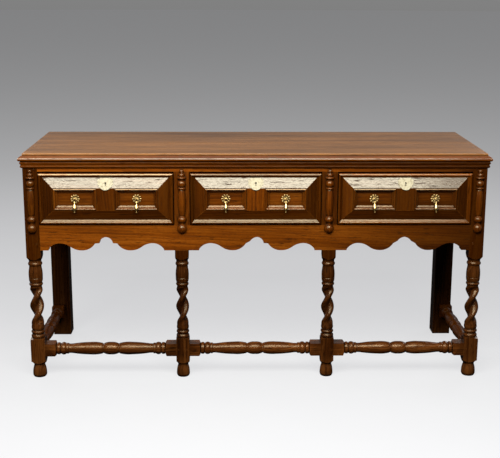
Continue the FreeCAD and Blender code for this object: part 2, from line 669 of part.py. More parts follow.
def drawer_mouldings(x, half):
    """Border, bevelled field, muntin block, two small frames and their tablets."""
    half_z = (DRAWER_TOP - DRAWER_LOW) / 2
    border = mitred_frame(x, FIELD_CENTRE_Z, half, half_z, BORDER, (0.0, 0.0), [
        (0.0, 6.0), ((0.5, 8.0), (1.8, 8.9)), (4.8, 10.6), ((5.2, 10.7), (5.6, 10.5)), (7.8, 9.3),
        (8.1, 6.0), (9.6, 5.0), (14.6, 2.3), (BORDER, 2.2), (BORDER, 0.0)])
    bevel = mitred_frame(x, FIELD_CENTRE_Z, half - BORDER, half_z - BORDER, BEVEL, (0.0, 0.0), [
        (0.0, BEVEL_LOW), (BEVEL, FIELD_PROUD), (BEVEL, 0.0)])
    muntin_half = FIELD_MUNTIN / 2
    low, high = FIELD_CENTRE_Z - FIELD_HALF, FIELD_CENTRE_Z + FIELD_HALF
    muntin = block(x - muntin_half, x + muntin_half, -FIELD_PROUD, 0, low, high)
    pieces = border + bevel + [muntin]
    for centre in panel_centres(x, half):
        frame_half = abs(centre - x) - muntin_half
        pieces += mitred_frame(centre, FIELD_CENTRE_Z, frame_half, FIELD_HALF, FRAME, (0.0, 0.0), [
            (0.0, 15.8), (2.2, 15.8), (2.4, 17.9), (4.9, 19.3), ((RIDGE_INSET, RIDGE_PROUD), (5.7, 19.3)),
            (8.1, 17.9), (8.6, 15.6), ((10.4, 11.4), (13.6, 9.4)), (16.6, 7.8), (FRAME, 7.4), (FRAME, 0.0)])
        inner = frame_half - FRAME
        pieces.append(block(centre - inner, centre + inner, -TABLET, 0, low + FRAME, high - FRAME))
    return pieces


def panel_centres(x, half):
    """Where the two small panels, and so the two handles, stand on a drawer front."""
    reach = (half - BORDER - BEVEL + FIELD_MUNTIN / 2) / 2
    return x - reach, x + reach


def drawer(place, x, half):
    """All the nodes of one drawer, given the middle and half the width of its front."""
    side_outer = half - DRAWER_SIDE_SET
    side_inner = side_outer - DRAWER_SIDE_THICK
    inside = DRAWER_FRONT_THICK
    rebate_y = inside - FRONT_REBATE
    bottom_top = DRAWER_BOTTOM_LOW + DRAWER_BOTTOM_THICK
    back_y = DRAWER_LONG - DRAWER_BACK_THICK
    bottom = block(x - side_inner - DRAWER_GROOVE, x + side_inner + DRAWER_GROOVE,
                   inside - DRAWER_GROOVE, DRAWER_LONG, DRAWER_BOTTOM_LOW, bottom_top)
    back = block(x - side_inner, x + side_inner, back_y, DRAWER_LONG, bottom_top, DRAWER_SIDE_TOP)
    slot_low = RUNNER_LOW - RUNNER_SLOT_ROOM
    slot_high = RUNNER_LOW + RUNNER_TALL + RUNNER_SLOT_ROOM
    front = block(x - half, x + half, 0, inside, DRAWER_LOW, DRAWER_TOP)
    sides = []
    for side in SIDES.values():
        outer = x + side * side_outer
        board = block(outer, x + side * side_inner, rebate_y, DRAWER_LONG, DRAWER_SIDE_LOW, DRAWER_SIDE_TOP)
        slot = block(outer, outer - side * RUNNER_SLOT_DEEP, RAIL_THICK - SLOT_LEAD, DRAWER_LONG,
                     slot_low, slot_high)
        sides.append(board.cut([slot, bottom]))
        rebate = block(x + side * half, x + side * side_inner, rebate_y, inside,
                       DRAWER_SIDE_LOW, DRAWER_SIDE_TOP)
        front = front.cut(rebate)
    handles = panel_centres(x, half)
    staples = [staple(centre, FIELD_CENTRE_Z) for centre in handles]
    rosettes = [rosette(centre, FIELD_CENTRE_Z) for centre in handles]
    key_way = keyhole(x, KEYHOLE_Z, -CUT_REACH, inside)
    holes = [hole for centre in handles for hole in wire_holes(centre, FIELD_CENTRE_Z)] + [key_way]
    mouldings = [piece.cut(holes) for piece in drawer_mouldings(x, half)]
    case, bolt = lock(x)
    left, right = (drop(centre, FIELD_CENTRE_Z) for centre in handles)
    return {
        f"drawer_front_{place}": [front.cut(holes + [bottom])],
        f"drawer_mouldings_{place}": mouldings,
        f"drawer_sides_{place}": sides,
        f"drawer_back_{place}": [back],
        f"drawer_bottom_{place}": [bottom],
        f"escutcheon_{place}": [escutcheon(x).cut(key_way)],
        f"lock_case_{place}": [case],
        f"lock_bolt_{place}": [bolt],
        f"handle_mounts_{place}": rosettes + staples,
        f"handle_drop_{place}_1": [left],
        f"handle_drop_{place}_2": [right],
    }


# Assembly

def peg_places():
    """Where each joint is pegged: a point on a face and the way in."""
    inward = V(0, 1, 0)
    forward = V(0, -1, 0)
    top_z = (SIDE_TOP_RAIL_LOW + CORNICE_LOW) / 2
    low_z = (SIDE_LOW_RAIL_LOW + PEG_FROM_EDGE, SIDE_LOW_RAIL_TOP - PEG_FROM_EDGE)
    front_z = ((FRIEZE_LOW + CORNICE_LOW) / 2, APRON_LOW + PEG_FROM_EDGE, APRON_TOP - PEG_FROM_EDGE)
    tenon_mid = STRETCHER_TENON_LONG / 2
    for side in SIDES.values():
        across = V(-side, 0, 0)
        face = side * POST_X
        for z in front_z:
            yield side * (OPENING_EDGE + PEG_SET), 0, z, inward
        yield side * (OPENING_EDGE + tenon_mid), 0, STRETCHER_Z, inward
        for end in (-1, 1):
            yield side * LEG_CENTRE + end * (INNER_LEG / 2 - tenon_mid), 0, STRETCHER_Z, inward
        for z in (top_z,) + low_z:
            yield face, POST - PEG_SET, z, across
            yield face, REAR_FRONT_Y + PEG_SET, z, across
            yield side * (REAR_INNER_X + PEG_SET), REAR_BACK_Y, z, forward
        yield face, POST - tenon_mid, STRETCHER_Z, across
        yield face, REAR_FRONT_Y + tenon_mid, STRETCHER_Z, across


def carcass(drawer_middles):
    """The fixed frame: every piece is cut to take the tenons, panels and pegs of its neighbours."""
    frieze = frieze_rail()
    apron = apron_rail()
    dividers = [drawer_divider(side * DIVIDER_CENTRE) for side in SIDES.values()]
    runners = drawer_runners()
    back_rails, back_muntins = back_frame()
    panels = back_panels()
    bolt_holes = [bolt_way(x, FRIEZE_LOW, FRIEZE_LOW + BOLT_TRAVEL) for x in drawer_middles]
    nodes = {}
    nodes["top_board_front"], nodes["top_board_rear"] = [[board] for board in top_boards()]
    front, ends = cornice()
    nodes["cornice_front"] = [front]
    nodes["cornice_ends"] = ends
    nodes["side_rails"] = []
    leg_faces = [POST_CENTRE - POST / 2, LEG_CENTRE + INNER_LEG / 2, LEG_CENTRE - INNER_LEG / 2]
    bars = {
        "left": front_stretcher(-leg_faces[0], -leg_faces[1]),
        "middle": front_stretcher(-leg_faces[2], leg_faces[2]),
        "right": front_stretcher(leg_faces[1], leg_faces[0]),
    }
    inner_tenons = []
    post = turned_leg(POST / 2, TOP_LOW)
    leg = turned_leg(INNER_LEG / 2, APRON_LOW)
    for name, side in SIDES.items():
        rails = side_rails(side)
        panel = side_panel(side)
        side_bar = side_stretcher(side)
        corner = moved(post, side * POST_CENTRE, POST / 2)
        nodes[f"front_post_{name}"] = [corner.cut([frieze, apron, panel, side_bar] + rails
                                                  + runners + list(bars.values()))]
        tenon = leg_tenon(side * LEG_CENTRE)
        inner = moved(leg, side * LEG_CENTRE, INNER_LEG / 2)
        nodes[f"inner_leg_{name}"] = [joined(inner, tenon).cut(list(bars.values()))]
        inner_tenons.append(tenon)
        rear = block(side * REAR_INNER_X, side * POST_X, REAR_FRONT_Y, REAR_BACK_Y, 0, TOP_LOW)
        nodes[f"rear_post_{name}"] = [rear.cut(rails + [panel, side_bar] + back_rails + panels + runners)]
        nodes["side_rails"] += [rail.cut(panel) for rail in rails]
        nodes[f"side_panel_{name}"] = [panel]
        nodes[f"side_stretcher_{name}"] = [side_bar]
    nodes["frieze_rail"] = [frieze.cut(dividers + bolt_holes)]
    nodes["apron_rail"] = [apron.cut(dividers + inner_tenons)]
    nodes["drawer_dividers"] = [divider.cut(runners) for divider in dividers]
    nodes["drawer_runners"] = runners
    nodes["back_frame"] = [piece.cut(panels + runners) for piece in back_rails + back_muntins]
    nodes["back_panels"] = panels
    for name, bar in bars.items():
        nodes[f"front_stretcher_{name}"] = [bar]
    pegs = [peg(*place) for place in peg_places()]
    for name, pieces in nodes.items():
        nodes[name] = [pegged(piece, pegs) for piece in pieces]
    nodes["joint_pegs"] = pegs
    nodes["split_balusters"] = [split_baluster(side * x) for side in SIDES.values()
                                for x in (DIVIDER_CENTRE, POST_CENTRE)]
    return nodes


def pegged(piece, pegs):
    """A piece with holes for those pegs that reach it."""
    near = [pin for pin in pegs if pin.BoundBox.intersect(piece.BoundBox)]
    return piece.cut(near) if near else piece


def export(name, pieces, origin_y):
    """Write one node, moved so that the origin is on the floor under the middle of the whole."""
    solids = [moved(solid, 0, -origin_y, 0) for piece in pieces for solid in piece.Solids]
    if not solids or not all(solid.isValid() for solid in solids):
        raise ValueError(f"{name} is not a sound solid")
    shape = solids[0] if len(solids) == 1 else Part.makeCompound(solids)
    shape.exportStep(f"parts/{name}.step")
    volume = sum(solid.Volume for solid in solids)
    print(f"{name}: {len(solids)} solid(s), {volume / 1000:.1f} cm3")


def main():
    os.makedirs("parts", exist_ok=True)
    outer_half = (OPENING_EDGE - DIVIDER_CENTRE - DIVIDER / 2) / 2 - DRAWER_SIDE_GAP
    outer_x = (OPENING_EDGE + DIVIDER_CENTRE + DIVIDER / 2) / 2
    middle_half = MIDDLE_OPENING / 2 - DRAWER_SIDE_GAP
    drawers = {"left": (-outer_x, outer_half), "middle": (0.0, middle_half), "right": (outer_x, outer_half)}
    nodes = carcass([x for x, half in drawers.values()])
    for place, (x, half) in drawers.items():
        nodes.update(drawer(place, x, half))
    front_y = nodes["handle_drop_middle_1"][0].optimalBoundingBox().YMin
    origin_y = (front_y + BACK_Y) / 2
    for name, pieces in nodes.items():
        export(name, pieces, origin_y)
    print(f"{len(nodes)} nodes, drops lean {DROP_LEAN:.2f} degrees")
    print(f"origin {origin_y:.3f} behind the post faces")


main()
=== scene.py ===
import json
import math
import random
from functools import partial

import bmesh
import bpy
from bpy.props import FloatProperty, FloatVectorProperty, IntProperty, PointerProperty
from mathutils import Matrix, Vector

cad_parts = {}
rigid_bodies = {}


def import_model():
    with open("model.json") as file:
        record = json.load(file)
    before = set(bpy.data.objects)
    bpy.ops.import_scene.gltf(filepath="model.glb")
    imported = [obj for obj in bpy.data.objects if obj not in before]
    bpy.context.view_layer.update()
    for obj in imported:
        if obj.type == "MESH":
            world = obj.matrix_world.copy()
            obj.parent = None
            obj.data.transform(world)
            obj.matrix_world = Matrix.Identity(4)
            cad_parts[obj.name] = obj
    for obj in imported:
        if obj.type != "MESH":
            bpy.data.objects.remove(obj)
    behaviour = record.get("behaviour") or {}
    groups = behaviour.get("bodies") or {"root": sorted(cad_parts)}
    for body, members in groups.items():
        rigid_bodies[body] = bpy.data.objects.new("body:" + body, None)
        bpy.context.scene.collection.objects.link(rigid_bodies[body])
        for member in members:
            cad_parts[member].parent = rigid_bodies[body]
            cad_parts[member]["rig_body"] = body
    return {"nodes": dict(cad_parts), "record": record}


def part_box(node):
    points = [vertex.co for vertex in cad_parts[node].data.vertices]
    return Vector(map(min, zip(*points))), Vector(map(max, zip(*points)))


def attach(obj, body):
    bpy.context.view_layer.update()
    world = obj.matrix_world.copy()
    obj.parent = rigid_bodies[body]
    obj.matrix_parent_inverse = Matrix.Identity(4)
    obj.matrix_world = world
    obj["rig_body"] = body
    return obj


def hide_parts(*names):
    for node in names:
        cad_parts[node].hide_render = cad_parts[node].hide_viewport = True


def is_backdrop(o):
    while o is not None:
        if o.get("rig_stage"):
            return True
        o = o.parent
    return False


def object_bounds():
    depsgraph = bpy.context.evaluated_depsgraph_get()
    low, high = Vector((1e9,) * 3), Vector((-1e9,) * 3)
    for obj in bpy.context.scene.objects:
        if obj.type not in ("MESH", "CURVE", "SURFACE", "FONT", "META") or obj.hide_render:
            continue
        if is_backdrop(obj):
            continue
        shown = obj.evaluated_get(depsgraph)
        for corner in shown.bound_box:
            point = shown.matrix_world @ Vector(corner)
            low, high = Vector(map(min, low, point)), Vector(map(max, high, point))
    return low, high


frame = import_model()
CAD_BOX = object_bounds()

bl_info = {
    "name": "Oak Dresser Base",
    "version": (1, 0, 0),
    "blender": (4, 5, 0),
    "location": "View3D > Sidebar > Dresser",
    "description": "Finishes a joined oak dresser base: worn oak, brass drops, iron locks and a stage",
    "category": "Object",
}

PLACES = ("left", "middle", "right")
SIDES = ("left", "right")
SLOTS = {part["node"]: part["material_slot"] for part in frame["record"]["subparts"]}
FORWARD = Vector((0, -1, 0))
BACKWARD = Vector((0, 1, 0))
UPWARD = Vector((0, 0, 1))
ANYWHERE = (-math.inf, math.inf)

# What counts as one point, as one flat face, as an edge that hands wear down, and as a crease
SAME_POINT = 5e-6
PLACE_DIGITS = 6
FLAT_ANGLE = math.radians(0.5)
EDGE_ANGLE = math.radians(30)
CREASE_ANGLE = math.radians(33)
EDGE_STEPS = 2
# On most pieces only edges of at least this length are rubbed
LONG_EDGE = 0.02


def colour(name, description, default):
    """A colour setting, in linear light."""
    return FloatVectorProperty(
        name=name, description=description, default=default, subtype="COLOR", min=0, max=1
    )


def length(name, description, default):
    """A size setting, in metres."""
    return FloatProperty(name=name, description=description, default=default, unit="LENGTH", min=0)


def share(name, description, default):
    """A setting from nothing to full."""
    return FloatProperty(
        name=name, description=description, default=default, subtype="FACTOR", min=0, max=1
    )


def power(name, description, default):
    """The power of a light, in watts."""
    return FloatProperty(name=name, description=description, default=default, unit="POWER")


class DresserFrameOak(bpy.types.PropertyGroup):
    """Legs, rear posts, front stretchers, sides and pegs"""

    vein: colour("Vein", "Colour of the dark grain", (0.007, 0.0019, 0.0004))
    body: colour("Body", "Colour of the wood between the veins", (0.035, 0.0094, 0.0016))
    light: colour("Light", "Colour of pale streaks and rubbed edges", (0.108, 0.036, 0.008))
    roughness: share("Roughness", "How dull the wax is", 0.18)
    gloss: share("Gloss", "How strongly the wax reflects", 0.34)
    wax: colour("Wax", "Tint of the wax", (1.0, 0.78, 0.54))


class DresserFrontOak(bpy.types.PropertyGroup):
    """Drawer fronts, frieze, apron, dividers, balusters, cornice, stiles and side stretchers"""

    vein: colour("Vein", "Colour of the dark grain", (0.022, 0.0046, 0.0005))
    body: colour("Body", "Colour of the wood between the veins", (0.096, 0.0222, 0.0010))
    light: colour("Light", "Colour of pale streaks and rubbed edges", (0.190, 0.058, 0.0055))
    roughness: share("Roughness", "How dull the wax is", 0.21)
    gloss: share("Gloss", "How strongly the wax reflects", 0.42)
    wax: colour("Wax", "Tint of the wax", (1.0, 0.90, 0.68))
    bevel_gloss: share("Bevel gloss", "How strongly the upper bevels and the top's nose reflect", 0.74)
    bevel_wax: colour("Bevel wax", "Tint of the wax on upper bevels and the top's nose", (1.0, 0.97, 0.89))
    edge_gloss: share("Edge gloss", "How strongly the upper sides of frames and borders reflect", 0.9)
    edge_wax: colour("Edge wax", "Tint of the wax on upper sides of frames and borders", (1.0, 0.80, 0.52))


class DresserTopOak(bpy.types.PropertyGroup):
    """The two boards of the top"""

    vein: colour("Vein", "Colour of the dark grain", (0.060, 0.021, 0.0050))
    body: colour("Body", "Colour of the wood between the veins", (0.165, 0.066, 0.0145))
    light: colour("Light", "Colour of pale streaks and rubbed edges", (0.33, 0.135, 0.035))
    roughness: share("Roughness", "How dull the wax is", 0.34)
    gloss: share("Gloss", "How strongly the wax reflects", 0.5)
    wax: colour("Wax", "Tint of the wax", (1.0, 0.99, 0.96))


class DresserBareOak(bpy.types.PropertyGroup):
    """Back, runners and drawer boxes, which were never waxed"""

    vein: colour("Vein", "Colour of the dark grain", (0.11, 0.056, 0.023))
    body: colour("Body", "Colour of the wood between the veins", (0.235, 0.135, 0.062))
    light: colour("Light", "Colour of pale streaks and rubbed edges", (0.34, 0.22, 0.115))
    roughness: share("Roughness", "How dull the surface is", 0.62)
    gloss: share("Gloss", "How strongly the surface reflects", 0.3)
    wax: colour("Wax", "Tint of the surface's gloss", (1.0, 1.0, 1.0))


class DresserMetal(bpy.types.PropertyGroup):
    """Brass handles and plates, iron locks"""

    brass: colour("Brass", "Colour of rubbed brass", (0.82, 0.61, 0.28))
    plate: colour("Plate", "Colour of the waxed brass plates round the keyholes", (0.37, 0.335, 0.245))
    tarnish: colour("Tarnish", "Colour of brass where hands don't rub it", (0.075, 0.036, 0.010))
    iron: colour("Iron", "Colour of the forged locks", (0.060, 0.054, 0.050))
    rust: colour("Rust", "Colour of old rust on the locks", (0.085, 0.034, 0.016))


class DresserSizes(bpy.types.PropertyGroup):
    """Sizes of the worn edges and of the brass"""

    top_edge: length("Top edge", "How far the upper edges of the top are rubbed down", 0.0022)
    board_edge: length("Board edge", "How far the edges of boards and rails are rubbed down", 0.0012)
    post_edge: length("Post edge", "How far the corners of posts and blocks are rubbed down", 0.0018)
    fine_edge: length("Fine edge", "How far the edges of small pieces are rubbed down", 0.0006)
    petals: IntProperty(name="Petals", description="Petals round each rosette", default=10, min=5, max=16)
    rosette_radius: length("Rosette radius", "From the middle to the tip of a petal", 0.0174)
    rosette_root: length("Rosette root", "From the middle to the notch between petals", 0.0122)
    pin_radius: length("Pin radius", "Of the round heads that hold the brass plates", 0.0017)
    nail_radius: length("Nail radius", "Of the nail heads on the locks", 0.0035)


class DresserStage(bpy.types.PropertyGroup):
    """Floor, light and camera"""

    # The floor's colours are its painted glow: a pool of light in front of the dresser, grey far behind
    floor_near: colour("Floor, near", "Colour of the floor in front of the dresser", (0.86, 0.86, 0.87))
    floor_far: colour("Floor, far", "Colour of the floor far behind", (0.205, 0.205, 0.207))
    key_power: power("Key light", "Power of the wide softbox", 196.0)
    key_colour: colour("Key colour", "Colour of the wide softbox", (1.0, 0.97, 0.82))
    top_power: power("Top light", "Power of the overhead light", 14.0)
    back_power: power("Back light", "Power of each rear light", 30.0)
    studio: FloatProperty(
        name="Studio", description="Brightness of the studio round the stage", default=0.24, min=0
    )
    lens: FloatProperty(name="Lens", description="Focal length in millimetres", default=74.07, min=1)


class DresserSettings(bpy.types.PropertyGroup):
    """All settings of the dresser"""

    oak_dark: PointerProperty(name="Frame oak", type=DresserFrameOak)
    oak_mid: PointerProperty(name="Front oak", type=DresserFrontOak)
    oak_top: PointerProperty(name="Top oak", type=DresserTopOak)
    oak_plain: PointerProperty(name="Bare oak", type=DresserBareOak)
    metal: PointerProperty(name="Metal", type=DresserMetal)
    sizes: PointerProperty(name="Sizes", type=DresserSizes)
    stage: PointerProperty(name="Stage", type=DresserStage)


def settings():
    """The dresser's settings in this scene."""
    return bpy.context.scene.dresser


def opaque(shade, amount=1.0):
    """A colour as a shader takes it, darkened where the amount is below 1."""
    return (*(part * amount for part in shade), 1.0)


# A hollow: how much of the open air a point sees where it is deepest and where it ends
HOLLOW_RANGE = (0.45, 0.95, 1.0, 0.0)
HOLLOW_SAMPLES = 8


class Shader:
    """The nodes of a material or of the world, built with short calls."""

    def __init__(self, block):
        self.block = block
        block.use_nodes = True
        self.tree = block.node_tree
        self.tree.nodes.clear()

    def add(self, kind, inputs=None, **values):
        """A node with its settings, and its inputs given as values or as other nodes' outputs."""
        node = self.tree.nodes.new(kind)
        for key, value in values.items():
            setattr(node, key, value)
        for key, value in (inputs or {}).items():
            if isinstance(value, bpy.types.NodeSocket):
                self.tree.links.new(value, node.inputs[key])
            else:
                node.inputs[key].default_value = value
        return node

    def place(self, kind="Object"):
        """Where a point lies."""
        return self.add("ShaderNodeTexCoord").outputs[kind]

    def attribute(self, name, output):
        """A value that a piece's mesh holds."""
        return self.add("ShaderNodeAttribute", attribute_name=name).outputs[output]

    def math(self, operation, first, second=0.0):
        """A calculation with two numbers."""
        return self.add("ShaderNodeMath", {0: first, 1: second}, operation=operation).outputs[0]

    def scaled(self, value, amount):
        """A value times an amount."""
        return self.math("MULTIPLY", value, amount)

    def plus(self, base, value, amount):
        """A value times an amount, added to a base."""
        return self.math("ADD", base, self.scaled(value, amount))

    def vector(self, operation, first, second, output=0):
        """A calculation with two vectors."""
        node = self.add("ShaderNodeVectorMath", {0: first, 1: second}, operation=operation)
        return node.outputs[output]

    def noise(self, place, stretch, detail=2.0, roughness=0.5, output=0):
        """Noise, with the number of its waves in each metre along each axis."""
        stretched = self.vector("MULTIPLY", place, stretch)
        inputs = {"Vector": stretched, "Scale": 1.0, "Detail": detail, "Roughness": roughness}
        return self.add("ShaderNodeTexNoise", inputs).outputs[output]

    def spread(self, value, low, high, to_low=0.0, to_high=1.0):
        """A value's range brought to another range, cut off at its ends."""
        inputs = {"Value": value, "From Min": low, "From Max": high, "To Min": to_low, "To Max": to_high}
        return self.add("ShaderNodeMapRange", inputs).outputs[0]

    def mix(self, amount, first, second, blend="MIX"):
        """One colour over another."""
        inputs = {0: amount, 6: first, 7: second}
        return self.add("ShaderNodeMix", inputs, data_type="RGBA", blend_type=blend).outputs[2]

    def ramp(self, value, stops):
        """A colour for a value, from stops of place and colour."""
        node = self.add("ShaderNodeValToRGB", {0: value})
        elements = node.color_ramp.elements
        while len(elements) < len(stops):
            elements.new(0.5)
        for element, (place, shade) in zip(elements, stops):
            element.position = place
            element.color = opaque(shade)
        return node.outputs[0]

    def hollow(self, reach):
        """1 in a corner, where grime settles and shade falls, 0 in the open. On oak it darkens the colour:
        grime, and painted shade.
        """
        air = self.add("ShaderNodeAmbientOcclusion", {"Distance": reach}, samples=HOLLOW_SAMPLES)
        return self.spread(air.outputs["AO"], *HOLLOW_RANGE)

    def finish(self, inputs, height, depth, strength):
        """The surface shader and its bump."""
        bump = self.add("ShaderNodeBump", {"Height": height, "Distance": depth, "Strength": strength})
        surface = self.add("ShaderNodeBsdfPrincipled", {**inputs, "Normal": bump.outputs[0]})
        self.add("ShaderNodeOutputMaterial", {0: surface.outputs[0]})
        return self.block


# Noises of the oak, with waves in each metre along a plank, across it and through it
SWAY = {"stretch": (2.2, 8.0, 8.0), "output": 1}
BANDS = {"stretch": (1.3, 24.0, 24.0), "detail": 3.0}
FIGURE = {"stretch": (5.0, 125.0, 125.0), "detail": 4.0, "roughness": 0.62}
FLECKS = {"stretch": (22.0, 165.0, 165.0), "roughness": 0.6}
PORES = {"stretch": (75.0, 1700.0, 1700.0), "detail": 1.0}
MOTTLE = {"stretch": (1.1, 8.0, 8.0), "detail": 3.0}
PATCHES = {"stretch": (9.0, 60.0, 60.0), "detail": 3.0}
RIPPLE = {"stretch": (7.0, 30.0, 30.0)}
# Growth rings round the pith, drawn out along the plank
RING_SQUEEZE = (0.07, 1.0, 1.0)
RING_WAVES = {"Scale": 46.0, "Distortion": 5.0, "Detail": 2.0, "Detail Scale": 1.4}
RING_KIND = {"wave_type": "RINGS", "rings_direction": "X", "wave_profile": "SAW"}
# The grain sways by up to half of this, to both sides of a noise's middle
SWAY_REACH = (0.0, 0.016, 0.016)
NOISE_MIDDLE = (0.5, 0.5, 0.5)
# How much each counts in the colour, and where vein, body and light tone lie
BAND_SHARE = 0.46
FIGURE_SHARE = 0.40
RING_SHARE = 0.14
GRAIN_STOPS = (0.26, 0.48, 0.78)
# The range of a noise that counts, and the range that it is brought to
MOTTLE_RANGE = (0.3, 0.7, 0.72, 1.24)
FIGURE_RANGE = (0.3, 0.7)
PORE_RANGE = (0.56, 0.66)
FLECK_RANGE = (0.60, 0.70)
RUB_RANGE = (0.35, 0.62, 0.15, 0.85)
SCUFF_AND_FLOOR_LIGHT_RANGE = (0.35, 0.6)
# The feet are lightened up to the first height, and less and less up to the second: scuffs, and painted
# light from the bright floor
SCUFF_AND_FLOOR_LIGHT_HEIGHTS = (0.015, 0.09, 0.85, 0.0)
# How far pores and flecks cover the wood, and their tone as a share of the vein's
PORE_DARK = 0.5
FLECK_DARK = 0.75
PIT_TONE = 0.7
# The reach of small and wide hollows in metres, how far dirt and painted shade cover them, and their share
# of the vein's tone
HOLLOW_NEAR = 0.007
HOLLOW_FAR = 0.035
HOLLOW_FAR_SHARE = 0.8
GRIME_AND_SHADE = 0.86
GRIME_AND_SHADE_TONE = 0.35
# What the figure, flecks and hollows add to the roughness, or take off it
FIGURE_DULL = 0.07
FIGURE_BRIGHT = 0.05
FLECK_DRY = 0.06
HOLLOW_DULL = 0.05
# Relief, as shares of the bump's depth; a bump is its depth in metres and its strength
FIGURE_RELIEF = 0.35
RIPPLE_RELIEF = 1.1
PIT_RELIEF = 0.4
OAK_BUMP = (0.0008, 0.5)
WAX_IOR = 1.5


def oak(name, tones, gloss, wax, dry=FLECK_DRY):
    """Oak with grain along each plank, dry flecks, dark hollows, rubbed edges and tinted wax."""
    shader = Shader(bpy.data.materials.new(name))
    plank = shader.attribute("grain", "Vector")
    sway = shader.vector("SUBTRACT", shader.noise(plank, **SWAY), NOISE_MIDDLE)
    fibre = shader.vector("ADD", plank, shader.vector("MULTIPLY", sway, SWAY_REACH))
    bands = shader.noise(fibre, **BANDS)
    figure = shader.noise(fibre, **FIGURE)
    flecks = shader.spread(shader.noise(fibre, **FLECKS), *FLECK_RANGE)
    pores = shader.spread(shader.noise(fibre, **PORES), *PORE_RANGE)
    squeezed = shader.vector("MULTIPLY", fibre, RING_SQUEEZE)
    rings = shader.add("ShaderNodeTexWave", {"Vector": squeezed, **RING_WAVES}, **RING_KIND).outputs["Fac"]

    depth = shader.scaled(bands, BAND_SHARE)
    depth = shader.plus(depth, figure, FIGURE_SHARE)
    depth = shader.plus(depth, rings, RING_SHARE)
    wood = shader.ramp(depth, list(zip(GRAIN_STOPS, (tones.vein, tones.body, tones.light))))
    mottle = shader.spread(shader.noise(plank, **MOTTLE), *MOTTLE_RANGE)
    tone = shader.math("MULTIPLY", shader.attribute("tone", "Fac"), mottle)
    wood = shader.mix(1.0, wood, tone, blend="MULTIPLY")
    pits = shader.math("MAXIMUM", shader.scaled(pores, PORE_DARK), shader.scaled(flecks, FLECK_DARK))
    wood = shader.mix(pits, wood, opaque(tones.vein, PIT_TONE))

    patches = shader.noise(plank, **PATCHES)
    worn = shader.attribute("worn", "Fac")
    rubbed = shader.math("MULTIPLY", worn, shader.spread(patches, *RUB_RANGE))
    wood = shader.mix(rubbed, wood, opaque(tones.light))
    # Low down the wood is lighter: scuffs, and painted light from the bright floor
    level = shader.add("ShaderNodeSeparateXYZ", {0: shader.place()}).outputs["Z"]
    low_down = shader.spread(level, *SCUFF_AND_FLOOR_LIGHT_HEIGHTS)
    scuffed_and_floor_lit = shader.math("MULTIPLY", low_down, shader.spread(patches, *SCUFF_AND_FLOOR_LIGHT_RANGE))
    wood = shader.mix(scuffed_and_floor_lit, wood, opaque(tones.light))
    # Hollows and the stain attribute darken the wood towards the vein: real dirt and stains, and painted
    # shade in recesses, at the long rails' right ends and on the rear posts
    wide_hollow = shader.scaled(shader.hollow(HOLLOW_FAR), HOLLOW_FAR_SHARE)
    hollow = shader.math("MAXIMUM", shader.hollow(HOLLOW_NEAR), wide_hollow)
    dirt_and_shade = shader.math("MAXIMUM", hollow, shader.attribute("stain_and_shade", "Fac"))
    wood = shader.mix(shader.scaled(dirt_and_shade, GRIME_AND_SHADE), wood, opaque(tones.vein, GRIME_AND_SHADE_TONE))

    most, least = tones.roughness + FIGURE_DULL, tones.roughness - FIGURE_BRIGHT
    dull = shader.spread(figure, *FIGURE_RANGE, most, least)
    dull = shader.plus(dull, flecks, dry)
    dull = shader.plus(dull, hollow, HOLLOW_DULL)
    height = shader.scaled(figure, FIGURE_RELIEF)
    height = shader.plus(height, shader.noise(plank, **RIPPLE), RIPPLE_RELIEF)
    height = shader.plus(height, pits, -PIT_RELIEF)
    surface = {"Base Color": wood, "Roughness": dull, "IOR": WAX_IOR}
    surface |= {"Specular IOR Level": gloss, "Specular Tint": opaque(wax)}
    return shader.finish(surface, height, *OAK_BUMP)


# Brass of drops and rosettes
BRASS_PATCHES = {"stretch": (140.0, 140.0, 140.0), "detail": 4.0, "roughness": 0.65}
BRASS_SCRATCHES = {"stretch": (900.0, 300.0, 2600.0)}
BRASS_HOLLOW = 0.005
BRASS_STAINS = (0.52, 0.74, 0.0, 0.7)
BRASS_DULL = (0.3, 0.7, 0.26, 0.40)
TARNISH_DULL = 0.25
SCRATCH_RELIEF = 0.3
BRASS_BUMP = (0.0002, 0.35)


def brass(name, metal):
    """Old brass, rubbed bright where it stands out and brown where it doesn't."""
    shader = Shader(bpy.data.materials.new(name))
    place = shader.place()
    patches = shader.noise(place, **BRASS_PATCHES)
    scratches = shader.noise(place, **BRASS_SCRATCHES)
    stains = shader.spread(patches, *BRASS_STAINS)
    brown = shader.math("MAXIMUM", stains, shader.hollow(BRASS_HOLLOW))
    # The stain attribute darkens brass: tarnish, and painted shade at the drops' lower ends
    brown = shader.math("MAXIMUM", brown, shader.attribute("stain_and_shade", "Fac"))
    skin = shader.mix(brown, opaque(metal.brass), opaque(metal.tarnish))
    dull = shader.plus(shader.spread(scratches, *BRASS_DULL), brown, TARNISH_DULL)
    height = shader.plus(patches, scratches, SCRATCH_RELIEF)
    surface = {"Base Color": skin, "Metallic": 1.0, "Roughness": dull}
    return shader.finish(surface, height, *BRASS_BUMP)


# Brass of the plates round the keyholes
PLATE_PATCHES = {"stretch": (130.0, 130.0, 130.0), "detail": 4.0, "roughness": 0.7}
PLATE_SPECKS = {"stretch": (620.0, 620.0, 620.0)}
PLATE_HOLLOW = 0.003
PLATE_HOLLOW_SHARE = 0.9
PLATE_STAINS = (0.50, 0.68, 0.0, 0.6)
SPECK_STAINS = (0.62, 0.7, 0.0, 0.7)
PLATE_DULL = (0.3, 0.7, 0.36, 0.5)
PLATE_GLOSS = 0.28
PLATE_BUMP = (0.0003, 0.5)


